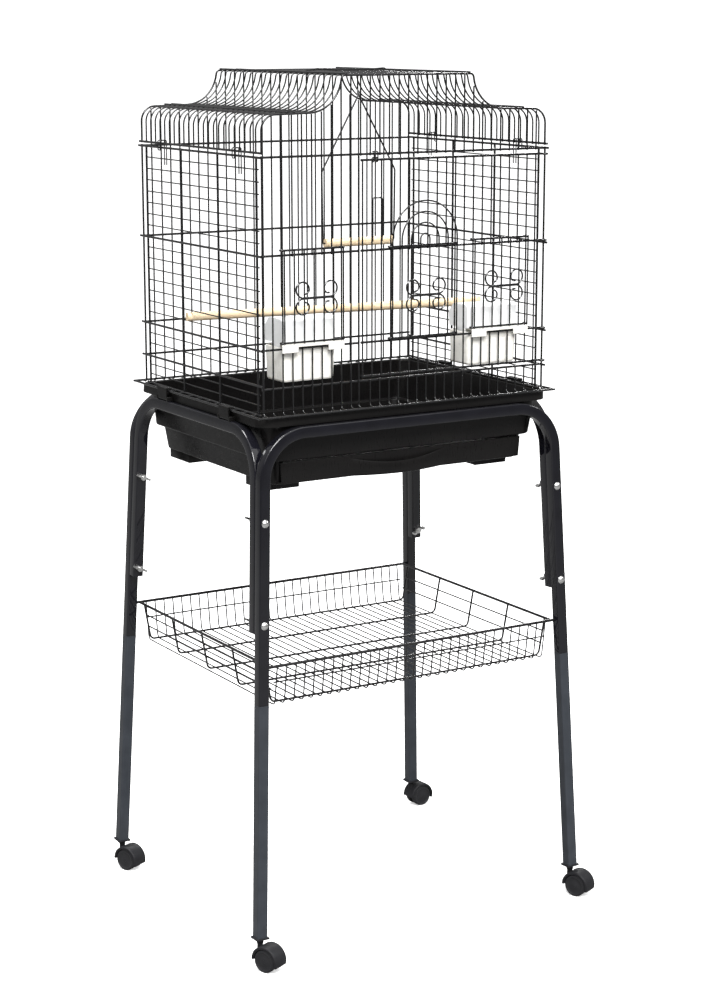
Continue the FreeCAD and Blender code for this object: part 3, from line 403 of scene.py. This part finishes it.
def block(bm, low, high, bevel, segments=3):
    """Box between two corners in cage millimetres, with rounded edges."""
    lo = at(*low)
    hi = at(*high)
    made = bmesh.ops.create_cube(bm, size=1.0, matrix=Matrix.Translation((lo + hi) / 2)
                                 @ Matrix.Diagonal((*(hi - lo), 1.0)))
    edges = list({e for v in made["verts"] for e in v.link_edges})
    bmesh.ops.bevel(bm, geom=edges, offset=bevel * mm, segments=segments, profile=0.5, affect="EDGES")


def new_object(bm, name):
    bmesh.ops.recalc_face_normals(bm, faces=bm.faces[:])
    mesh = bpy.data.meshes.new(name)
    bm.to_mesh(mesh)
    bm.free()
    ob = bpy.data.objects.new(name, mesh)
    bpy.context.collection.objects.link(ob)
    return ob


def apply_modifiers(ob):
    graph = bpy.context.evaluated_depsgraph_get()
    mesh = bpy.data.meshes.new_from_object(ob.evaluated_get(graph))
    ob.modifiers.clear()
    ob.data = mesh


def combine(ob, other, operation):
    """Solid union or difference, then the other object is gone."""
    mod = ob.modifiers.new("combine", "BOOLEAN")
    mod.operation = operation
    mod.solver = "EXACT"
    mod.object = other
    apply_modifiers(ob)
    bpy.data.objects.remove(other)


def piece(ob, node, smooth=35):
    """Dress a finished mesh and let it stand for its CAD node."""
    mesh = ob.data
    mesh.polygons.foreach_set("use_smooth", [True] * len(mesh.polygons))
    mesh.set_sharp_from_angle(angle=math.radians(smooth))
    mesh.materials.clear()
    mesh.materials.append(LOOKS[slot_of[node]])
    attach(ob, body_of[node])
    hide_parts(node)


def wire_piece(node, runs, sides=12):
    """Runs are (points, diameter in mm)."""
    bm = bmesh.new()
    for path, diameter in runs:
        sweep(bm, path, circle(diameter / 2 * mm, sides), chamfer=diameter * 0.12 * mm)
    piece(new_object(bm, node + "_wire"), node)


# ---------------------------------------------------------------------------
# Stand: bent square tube
# ---------------------------------------------------------------------------
TUBE = 16.0
TUBE_R = 2.2
BEND_R = 64.0
RAIL_Z = 747.0
LEG_END_Z = 49.0
SPLAY_X = 28.8 / 700
SPLAY_Y = 29.8 / 700
SIDE_GAP = 16.165
FOOT_TRIM = 0.35
joints = {j["name"]: j for j in frame["joints"]}
swivel = joints["caster_front_right_swivel"]["pos_m"]
FOOT_X = (swivel[0] - tub_mid.x) / mm
FOOT_Y = (tub_mid.y - swivel[1]) / mm


def leg(z, sx, sy, inward=0.0):
    """Centre of a leg at a height, in cage millimetres."""
    rise = z - LEG_END_Z
    return at(sx * (FOOT_X - rise * SPLAY_X), sy * (FOOT_Y - rise * SPLAY_Y - inward), z)


def frame_foot(node):
    """Height at which a frame's tube ends, in cage millimetres."""
    return (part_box(node)[0][2] - LEVEL) / mm + FOOT_TRIM


def tube_frame(node, corners):
    path = fillet(corners, BEND_R * mm, 4)
    normal = (corners[1] - corners[0]).cross(corners[2] - corners[1]).normalized()
    bm = bmesh.new()
    sweep(bm, path, square(TUBE / 2 * mm, TUBE_R * mm), normal, chamfer=0.4 * mm)
    piece(new_object(bm, node + "_tube"), node)


for node, sy in (("stand_front_frame", -1), ("stand_back_frame", 1)):
    foot = frame_foot(node)
    tube_frame(node, [leg(foot, -1, sy), leg(RAIL_Z, -1, sy), leg(RAIL_Z, 1, sy), leg(foot, 1, sy)])
for node, sx in (("stand_side_frame_left", -1), ("stand_side_frame_right", 1)):
    foot = frame_foot(node)
    tube_frame(node, [leg(foot, sx, -1, SIDE_GAP), leg(RAIL_Z, sx, -1, SIDE_GAP),
                      leg(RAIL_Z, sx, 1, SIDE_GAP), leg(foot, sx, 1, SIDE_GAP)])

# ---------------------------------------------------------------------------
# Roof, centre door, scrolls and carry handle: bent wire
# ---------------------------------------------------------------------------
WALL_X = 228.5
WIRE_Y = 179.25
UPRIGHT = 2.2
LONG = 2.4
RIDGE_Z = 1220.0
ROOF_SHAPE = [(-WALL_X, 1119), (-WALL_X, 1170), (-112, 1172.5), (-105.5, RIDGE_Z),
              (105.5, RIDGE_Z), (112, 1172.5), (WALL_X, 1170), (WALL_X, 1119)]
ROOF_BENDS = [r * mm for r in (21, 50, 5.5, 5.5, 50, 21)]
ROOF_WIRES = 25
ROOF_EDGE = 2.8
ROOF_RAIL_X = 231.05
ROOF_RAIL_Z = 1121
ROOF_RAIL = 3.2
ROOF_LONG_WIRES = ((190, 181), (179, 181), (165, 150), (99, 181), (88, 152))
WELD = 0.15


def roof_line(y):
    return fillet([at(x, y, z) for x, z in ROOF_SHAPE], ROOF_BENDS)


def roof_height(x):
    """Height of the roof line above x, in cage millimetres."""
    line = roof_line(0.0)
    want = at(x, 0, 0).x
    tops = []
    for a, b in zip(line, line[1:]):
        if min(a.x, b.x) <= want <= max(a.x, b.x) and abs(a.x - b.x) > 1e-7:
            tops.append(a.z + (b.z - a.z) * (want - a.x) / (b.x - a.x))
    return (max(tops) - LEVEL) / mm


roof = []
for k in range(ROOF_WIRES):
    edge = k in (0, ROOF_WIRES - 1)
    roof.append((roof_line(-WIRE_Y + 2 * WIRE_Y * k / (ROOF_WIRES - 1)), ROOF_EDGE if edge else UPRIGHT))
over = (UPRIGHT + LONG) / 2 - WELD
for s in (-1, 1):
    roof.append(([at(s * ROOF_RAIL_X, -182, ROOF_RAIL_Z), at(s * ROOF_RAIL_X, 182, ROOF_RAIL_Z)],
                 ROOF_RAIL))
    for x, half in ROOF_LONG_WIRES:
        z = roof_height(x) + over
        roof.append(([at(s * x, -half, z), at(s * x, half, z)], LONG))
wire_piece("roof", roof)

HOLD = 3.05
BOW = 3.2
BOW_X = 55
top = RIDGE_Z + HOLD
bow = arc(at(-BOW_X, 0, RIDGE_Z), HOLD * mm, "yz", -150, 90)
bow += fillet([at(-BOW_X, 0, top), at(-BOW_X, -6, top), at(-BOW_X, -34, top + 2.5),
               at(-30, -35, top + 0.8), at(30, -35, top + 0.8), at(BOW_X, -34, top + 2.5),
               at(BOW_X, -6, top), at(BOW_X, 0, top)],
              [r * mm for r in (20, 8, 14, 14, 8, 20)])[1:-1]
bow += arc(at(BOW_X, 0, RIDGE_Z), HOLD * mm, "yz", 90, -150)
wire_piece("carry_handle", [(bow, BOW)], 14)

GUIDE = 2.95
BAR = 3.0
DOOR_WIRE_Y = 179.0
DOOR_PITCH = 15.08
DOOR_XS = [-73.0 + DOOR_PITCH * i for i in range(20)]
DOOR_FACE = 2.45
ARCH_FOOT = 1.3
CENTRE_Z0 = 862.3
CENTRE_Z1 = 988.4
CENTRE_SPRING_Z = 997.0


def slide_bar(x0, x1, guide_y, z):
    return (arc(at(x0, guide_y, z), GUIDE * mm, "xy", 60, 270)
            + arc(at(x1, guide_y, z), GUIDE * mm, "xy", -90, 120))


def arch_door(xs, guide_y, z0, z1, spring):
    y = guide_y - GUIDE - DOOR_FACE
    middle = (xs[0] + xs[-1]) / 2
    runs = [(slide_bar(xs[0], xs[-1], guide_y, z), BAR) for z in (z0, z1)]
    for x in xs[:len(xs) // 2]:
        r = middle - x
        line = [at(x, y, z0 - ARCH_FOOT)] + arc(at(middle, y, spring), r * mm, "xz", 180, 0, 7)
        runs.append((line + [at(middle + r, y, z0 - ARCH_FOOT)], UPRIGHT))
    return runs


wire_piece("centre_door", arch_door(DOOR_XS[3:11], -DOOR_WIRE_Y, CENTRE_Z0, CENTRE_Z1, CENTRE_SPRING_Z))

SCROLL = 2.4


def scroll(middle):
    """Two wires side by side, each curled at both ends."""
    runs = []
    for up in (-1, 1):
        line = []
        base = middle + Vector((0, 0, 0.6 * up * mm))
        for side in (-1, 1):
            start = base + Vector((side * 20.5 * mm, 0, 0))
            hub = start + Vector((0, 0, 11.2 * up * mm))
            curl = []
            for offset, r, a0, a1 in ((0, 11.2, -90, 0), (1.2, 10.0, 0, 180), (-2.6, 6.2, 180, 290)):
                for p in arc(hub + Vector((side * offset * mm, 0, 0)), r * mm, "xz", a0, a1):
                    dx = p.x - (hub.x + side * offset * mm)
                    dz = p.z - hub.z
                    curl.append(Vector((hub.x + side * (offset * mm + dx), p.y, hub.z + up * dz)))
            line = line + curl if side > 0 else curl[::-1]
        runs.append((spaced(line, 1e-5), SCROLL))
    return runs


for node in ("ornament_left", "ornament_centre", "ornament_right"):
    wire_piece(node, scroll(span(node)[2]), 10)

# ---------------------------------------------------------------------------
# Tub and drawer
# ---------------------------------------------------------------------------
TUB_WIDER = 3.0
TUB_SET_BACK = 5.0
STEP_Z = 706.0
FOOT_Z = 657.0
FOOT_SPANS_X = ((-202, -147), (147, 202))
FOOT_SPANS_Y = ((-132, -76), (98, 160))
CLIP_X = 243.0
CLIP_Y = 95
CLIP_Z = 758.2
EAR_Y = 16
PIN_HOLE_R = 1.28
DRAWER_GAP = 0.6
FASCIA_TAPER = 2.6
DRAWER_X = 196.0
DRAWER_Z0 = 673.6
DRAWER_Z1 = 702.0


def corner_radius(half_x):
    return 15.0 + (half_x - 199.0) * 0.16


def tub_shell():
    """Rim, body and step as one closed skin, outside then inside."""
    bm = bmesh.new()
    profile = [(196, 157, 670), (201, 162, 670), (206, 166, 704.6), (215, 175, 705.2), (223.5, 181.6, 766),
               (231.8, 185.8, 766.2), (231.8, 185.8, 755.2), (234, 188, 755.2), (234, 188, 768.3),
               (222, 180, 768.3), (213, 173, 707.2), (204, 164, 707), (199, 160, 672.2), (190, 151, 672.2)]
    bends = [2.6, 1.6, 3.0, 2.0, 0.6, 0.8, 0.8, 1.8, 2.4, 2.0, 1.8, 2.6]
    rings = []
    for p in fillet(profile, bends, 18):
        set_back = TUB_SET_BACK * min(1.0, (TUB_TOP - p.z) / (TUB_TOP - STEP_Z))
        rings.append(oblong(p.x + TUB_WIDER, p.y + set_back, corner_radius(p.x), p.z, 0, set_back))
    skin(bm, rings)
    return new_object(bm, "base_tub_body")


def tub_feet():
    bm = bmesh.new()
    for y0, y1 in FOOT_SPANS_Y:
        for x0, x1 in FOOT_SPANS_X:
            block(bm, (x0, y0, FOOT_Z), (x1, y1, 671), 1.4)
    return new_object(bm, "feet")


def clip_ears():
    """Two ears beside each base clip, and the bores for its pins."""
    ears = bmesh.new()
    bores = bmesh.new()
    for sx in (-1, 1):
        for y in (-CLIP_Y, CLIP_Y):
            for sy in (-1, 1):
                yc = y + EAR_Y * sy
                xs = sorted((233 * sx, 246 * sx))
                block(ears, (xs[0], yc - 1.6, 755.5), (xs[1], yc + 1.6, 761.4), 0.6, 2)
                pin = [at(CLIP_X * sx, yc - 3, CLIP_Z), at(CLIP_X * sx, yc + 3, CLIP_Z)]
                sweep(bores, pin, circle(PIN_HOLE_R * mm, 20))
    return ears, bores


tub = tub_shell()
combine(tub, tub_feet(), "UNION")
ears, openings = clip_ears()
combine(tub, new_object(ears, "ears"), "UNION")
block(openings, (-DRAWER_X - DRAWER_GAP, -175, DRAWER_Z0 - DRAWER_GAP),
      (DRAWER_X + DRAWER_GAP, -150, DRAWER_Z1 + 0.8), 1.5)
combine(tub, new_object(openings, "openings"), "DIFFERENCE")
piece(tub, "base_tub")

bm = bmesh.new()
rings = []
for p in fillet([(188, 152.5, DRAWER_Z0), (DRAWER_X, 160.5, DRAWER_Z0), (DRAWER_X, 160.5, DRAWER_Z1),
                 (DRAWER_X - 1.8, 158.7, DRAWER_Z1), (DRAWER_X - 1.8, 158.7, DRAWER_Z0 + 1.8),
                 (186, 150.5, DRAWER_Z0 + 1.8)], [2.0, 0.7, 0.7, 2.0], 18):
    rings.append(oblong(p.x, p.y, 13 - (DRAWER_X - p.x), p.z, 0, -3.5))
skin(bm, rings)
drawer = new_object(bm, "drawer_tray_body")
bm = bmesh.new()
block(bm, (-DRAWER_X - 3, -171.2, DRAWER_Z0 - DRAWER_GAP), (DRAWER_X + 3, -168.6, DRAWER_Z1 + 0.2), 1.0)
for v in bm.verts:
    fall = (DRAWER_Z1 * mm + LEVEL - v.co.z) / ((DRAWER_Z1 - DRAWER_Z0) * mm)
    v.co.x += math.copysign(FASCIA_TAPER * mm * max(0.0, fall), tub_mid.x - v.co.x)
combine(drawer, new_object(bm, "fascia"), "UNION")
bm = bmesh.new()
block(bm, (-DRAWER_X + 4, -169.4, DRAWER_Z0 + 0.4), (DRAWER_X - 4, -163.4, DRAWER_Z1 - 0.4), 0.5)
combine(drawer, new_object(bm, "bridge"), "UNION")

GRIP_X = -11.5
GRIP_HALF = 86.5


def grip_mesh(depth, half, y_edge, z0, z1, bevel, sag=0.0, dip=0.0):
    """Lens-shaped bulge that fades into the fascia at both ends."""
    bm = bmesh.new()
    steps = 36
    rings = []
    for k in range(steps + 1):
        u = -1 + 2 * k / steps
        swell = 1 - u * u
        y = y_edge - depth * swell ** 1.35
        x = GRIP_X + half * u
        low = z0 - sag * swell ** 0.8
        high = z1 - dip * swell
        back = y_edge + 1.0
        front = min(y, back - 0.4)
        drop = bevel * min(1.0, (back - front) / 4)
        rings.append([at(x, back, low), at(x, front + drop, low),
                      at(x, front + drop * 0.3, low + drop * 0.3), at(x, front, low + drop),
                      at(x, front, high - drop), at(x, front + drop * 0.3, high - drop * 0.3),
                      at(x, front + drop, high), at(x, back, high)])
    skin(bm, rings)
    return bm


grip = grip_mesh(13.0, GRIP_HALF, -170.4, 673.2, 701.0, 1.4, sag=1.4, dip=12.0)
combine(drawer, new_object(grip, "grip"), "UNION")
pocket = grip_mesh(9.6, GRIP_HALF - 8, -171.6, 676.0, 704.0, 0.8)
combine(drawer, new_object(pocket, "pocket"), "DIFFERENCE")
piece(drawer, "drawer_tray")

# ---------------------------------------------------------------------------
# Feeders
# ---------------------------------------------------------------------------
CUP_X = 42.0
CUP_FLOOR_Z = 812.8
CUP_RIM_Z = 860
HOOD_Z0 = 865.6
HOOD_Z1 = 898.5
CUP_MIDDLE = {"left": -154.5, "right": 146.0}
CUP_FRONT = -174.1
CUP_BACK = -124.5
CUP_Y = (CUP_FRONT + CUP_BACK) / 2
CUP_HALF_Y = (CUP_BACK - CUP_FRONT) / 2


def feeder_cup(node, opening, guide_span):
    cx = CUP_MIDDLE[node.split("_")[-1]]
    bm = bmesh.new()
    profile = [(30, 15, CUP_FLOOR_Z), (38.6, CUP_HALF_Y - 2.2, CUP_FLOOR_Z),
               (40.2, CUP_HALF_Y - 1.1, 815.4), (CUP_X, CUP_HALF_Y, CUP_RIM_Z),
               (CUP_X - 2, CUP_HALF_Y - 2, CUP_RIM_Z), (38.2, CUP_HALF_Y - 3.2, 817.4),
               (36.6, CUP_HALF_Y - 4.2, 814.8), (28, 13, 814.8)]
    rings = []
    for p in fillet(profile, [1.2, 1.2, 0.8, 0.8, 1.2, 1.2], 15):
        lean = (CUP_RIM_Z - p.z) * 0.015
        rings.append(oblong(p.x, p.y, 5 - (CUP_X - p.x) * 0.2, p.z, cx, CUP_Y + lean))
    skin(bm, rings)
    cup = new_object(bm, node + "_body")
    half = guide_span / 2 - UPRIGHT / 2 - 0.5
    for x0, x1, y0, y1, z0, z1 in (
            (cx - CUP_X + 7, cx + CUP_X - 7, CUP_FRONT, CUP_FRONT + 2.0, 850.0, 865.4),
            (opening - half, opening + half, -181.2, CUP_FRONT + 1.7, 861.5, 865.25),
            (opening - half - 4.5, opening + half + 4.5, -183.4, -180.9, 861.35, 865.35),
            (opening - half - 4.3, opening - half + 20.5, -183.3, -181.0, 854.0, 863.0),
            (opening + half - 20.5, opening + half + 4.3, -183.3, -181.0, 854.0, 863.0)):
        bm = bmesh.new()
        block(bm, (x0, y0, z0), (x1, y1, z1), 0.7)
        combine(cup, new_object(bm, "lip"), "UNION")
    piece(cup, node)


PITCH = 2 * WALL_X / 30
feeder_cup("feeder_cup_left", -WALL_X + 5 * PITCH, 6 * PITCH)
feeder_cup("feeder_cup_right", DOOR_XS[15], 6 * DOOR_PITCH)


def feeder_hood(node):
    """Bent sheet with cheeks, open below and towards the cage."""
    cx = CUP_MIDDLE[node.split("_")[-1]]
    y0 = CUP_FRONT + 2.2
    y1 = CUP_BACK
    z0 = HOOD_Z0
    z1 = HOOD_Z1
    outline = fillet([(0, y0, z0), (0, y0, z1), (0, y1 - 12, z1), (0, y1, z1 - 13), (0, y1, z1 - 18),
                      (0, y1 - 1.5, z0)], [5.0, 5.0, 3.0, 0.0], 15)
    bm = bmesh.new()
    sides = []
    for x in (cx - CUP_X + 0.3, cx + CUP_X - 0.3):
        sides.append([bm.verts.new(at(x, p.y, p.z)) for p in outline])
    count = len(outline)
    sheet_end = min(range(count), key=lambda k: abs(outline[k].z - (z1 - 17)) + abs(outline[k].y - y1))
    for k in range(sheet_end):
        bm.faces.new((sides[0][k], sides[0][k + 1], sides[1][k + 1], sides[1][k]))
    for cheek in sides:
        bm.faces.new(cheek)
    ob = new_object(bm, node + "_shell")
    mod = ob.modifiers.new("wall", "SOLIDIFY")
    mod.thickness = 1.5 * mm
    mod.offset = -1
    mod.use_even_offset = True
    apply_modifiers(ob)
    for s in (-1, 1):
        bm = bmesh.new()
        xs = sorted((cx + s * (CUP_X - 0.35), cx + s * (CUP_X - 1.75)))
        block(bm, (xs[0], CUP_FRONT + 8, 860.2), (xs[1], CUP_BACK - 20.5, 867.0), 0.3, 2)
        combine(ob, new_object(bm, "tongue"), "UNION")
    piece(ob, node)


feeder_hood("feeder_hood_left")
feeder_hood("feeder_hood_right")

# ---------------------------------------------------------------------------
# Casters
# ---------------------------------------------------------------------------
WHEEL_R = 16.5
HOOD_R = 21.5
POCKET_R = 17.4
HOUSING = [(-13, POCKET_R), (-13, HOOD_R), (13, HOOD_R), (13, POCKET_R),
           (2.5, POCKET_R), (2.5, 3.0), (-2.5, 3.0), (-2.5, POCKET_R)]
HOUSING_BENDS = [0.5, 1.6, 1.6, 0.5, 0.4, 0.2, 0.2, 0.4]
NECK = [(4.2, 26), (4.2, 40.5), (4.9, 41), (4.9, 43), (4.2, 43.5),
        (4.2, 45.3), (3.0, 45.8), (3.0, 64.5), (2.2, 65.3)]
WHEEL = [(3.0, 2.02), (3.0, 15.2), (3.8, 16.2), (5.0, WHEEL_R), (10.4, WHEEL_R),
         (11.7, 16.1), (12.4, 15.0), (12.4, 13.4), (11.9, 12.9), (11.6, 12.2),
         (11.6, 6.0), (11.9, 5.2), (11.9, 2.02)]


def spun(bm, hub, axis, side, profile, start=0.0, turn=360.0, step=7.5):
    """Turn a closed (axial, radius) profile about the wheel axis."""
    count = round(turn / step)
    full = turn >= 360
    rings = []
    for k in range(count + (0 if full else 1)):
        t = math.radians(start + turn * k / count)
        out = side * math.cos(t) + Vector((0, 0, 1)) * math.sin(t)
        rings.append([hub + axis * (a * mm) + out * (r * mm) for a, r in profile])
    skin(bm, rings, closed=full)


def rounded(profile, radii):
    """Closed outline with rounded corners, as (axial, radius) pairs."""
    pts = [Vector((a, r, 0)) for a, r in profile]
    start = (pts[0] + pts[-1]) / 2
    return [(p.x, p.y) for p in fillet([start] + pts + [start], radii, 22)[:-1]]


def bar(bm, hub, axis, start, end, radius, sides):
    """Round bar along the wheel axis, between two distances from the hub."""
    sweep(bm, [hub + axis * start * mm, hub + axis * end * mm], circle(radius * mm, sides))


def neck_ring(stem, radius, z):
    return [Vector((stem.x + x, stem.y + y, LEVEL + z * mm)) for x, y in circle(radius * mm, 28)]


def caster_housing(corner, hub, axis, side, stem):
    """Hood and middle web over the wheels, with the neck that swivels."""
    bm = bmesh.new()
    spun(bm, hub, axis, side, rounded(HOUSING, HOUSING_BENDS), -16, 196, 5)
    housing = new_object(bm, "caster_housing_%s_body" % corner)
    bm = bmesh.new()
    bar(bm, hub, axis, -2.5, 2.5, 4.6, 28)
    combine(housing, new_object(bm, "boss"), "UNION")
    bm = bmesh.new()
    skin(bm, [neck_ring(stem, r, z) for r, z in NECK])
    combine(housing, new_object(bm, "neck"), "UNION")
    bm = bmesh.new()
    for s in (-1, 1):
        bar(bm, hub, axis, s * 2.6, s * 16, 17.2, 64)
    combine(housing, new_object(bm, "pockets"), "DIFFERENCE")
    bm = bmesh.new()
    bar(bm, hub, axis, -6, 6, 2.08, 28)
    combine(housing, new_object(bm, "axle_hole"), "DIFFERENCE")
    piece(housing, "caster_housing_" + corner)


def caster_wheels(corner, hub, axis, side):
    bm = bmesh.new()
    for s in (-1, 1):
        spun(bm, hub, axis * s, side, WHEEL)
        bar(bm, hub, axis, s * 11.0, s * 12.1, 2.0, 24)
    piece(new_object(bm, "caster_wheels_%s_pair" % corner), "caster_wheels_" + corner)


for corner in ("front_left", "front_right", "back_left", "back_right"):
    wheel_joint = joints["wheels_%s_spin" % corner]
    hub = Vector(wheel_joint["pos_m"])
    axis = Vector(wheel_joint["axis"]).normalized()
    stem = Vector(joints["caster_%s_swivel" % corner]["pos_m"])
    side = Vector((hub.x - stem.x, hub.y - stem.y, 0)).normalized()
    caster_housing(corner, hub, axis, side, stem)
    caster_wheels(corner, hub, axis, side)

# ---------------------------------------------------------------------------
# Studio and camera
# ---------------------------------------------------------------------------
FLOOR_R = 400.0
DIM = 0.22
SKY_STOPS = [(0.0, DIM), (0.25, 0.26), (0.6, 0.40), (1.0, 0.55)]
SKY_SHOWN = 1.1
LIGHTS_AIM = (0, 0, 0.7)


# The floor and the sky are white to the camera and dim to every other ray, so
# that the glossy black surfaces mirror a dim room.
def studio_floor():
    floor_mesh = bpy.data.meshes.new("studio_floor")
    bm = bmesh.new()
    bmesh.ops.create_circle(bm, cap_ends=True, segments=96, radius=FLOOR_R)
    bm.to_mesh(floor_mesh)
    bm.free()
    floor = bpy.data.objects.new("studio_floor", floor_mesh)
    bpy.context.collection.objects.link(floor)
    s = Shader("studio_floor")
    shown = s.mix(s.remap(s.noise(3, 3), 0, 1), (0.95, 0.95, 0.95), (0.93, 0.93, 0.93))
    seen = s.add("ShaderNodeLightPath").outputs["Is Camera Ray"]
    s.colour(s.mix(seen, (DIM, DIM, DIM), shown))
    s.set(Roughness=0.9, Specular_IOR_Level=0.1, Emission_Color=(1, 1, 1, 1))
    s.link(s.remap(seen, 0.0, 0.5, 0.0, 1.0), s.bsdf.inputs["Emission Strength"])
    floor_mesh.materials.append(s.mat)


def studio_world():
    world = bpy.data.worlds.new("studio")
    bpy.context.scene.world = world
    world.use_nodes = True
    tree = world.node_tree
    back = tree.nodes["Background"]
    coords = tree.nodes.new("ShaderNodeTexCoord")
    split = tree.nodes.new("ShaderNodeSeparateXYZ")
    ramp = tree.nodes.new("ShaderNodeValToRGB")
    path = tree.nodes.new("ShaderNodeLightPath")
    white = tree.nodes.new("ShaderNodeBackground")
    either = tree.nodes.new("ShaderNodeMixShader")
    tree.links.new(coords.outputs["Generated"], split.inputs["Vector"])
    tree.links.new(split.outputs["Z"], ramp.inputs["Fac"])
    tree.links.new(ramp.outputs["Color"], back.inputs["Color"])
    tree.links.new(path.outputs["Is Camera Ray"], either.inputs["Fac"])
    tree.links.new(back.outputs["Background"], either.inputs[1])
    tree.links.new(white.outputs["Background"], either.inputs[2])
    tree.links.new(either.outputs["Shader"], tree.nodes["World Output"].inputs["Surface"])
    white.inputs["Color"].default_value = (1, 1, 1, 1)
    white.inputs["Strength"].default_value = SKY_SHOWN
    fill_ramp(ramp.color_ramp, [(place, (grey, grey, grey)) for place, grey in SKY_STOPS])
    back.inputs["Strength"].default_value = 1.0


def lamp(name, kind, place, energy):
    data = bpy.data.lights.new(name, kind)
    data.energy = energy
    ob = bpy.data.objects.new(name, data)
    ob.location = place
    aim = Vector(LIGHTS_AIM) - Vector(place)
    ob.rotation_euler = aim.to_track_quat("-Z", "Y").to_euler()
    bpy.context.collection.objects.link(ob)
    return data


def studio_lights():
    lamp("sky_glow", "SUN", (-0.4, -2.2, 3.6), 1.7).angle = math.radians(80)
    for name, place, size, power in (
        ("key", (-1.3, -3.2, 3.7), 1.5, 250),
        ("fill", (3.2, -1.6, 2.4), 0.6, 24),
        ("top", (-0.9, 0.5, 4.0), 1.2, 130),
        ("rim", (2.6, 2.8, 2.8), 0.7, 36),
    ):
        data = lamp(name, "AREA", place, power)
        data.shape = "SQUARE"
        data.size = size


def camera():
    data = bpy.data.cameras.new("camera")
    data.sensor_fit = "HORIZONTAL"
    data.sensor_width = 36.0
    data.lens = 110.3
    ob = bpy.data.objects.new("camera", data)
    ob.location = (-1.6544, -2.7539, 1.2851)
    ob.rotation_euler = (math.radians(90 - 11.93), 0, math.radians(-31.27))
    bpy.context.collection.objects.link(ob)
    bpy.context.scene.camera = ob


studio_floor()
studio_world()
studio_lights()
camera()
bpy.context.scene.view_settings.view_transform = "Standard"
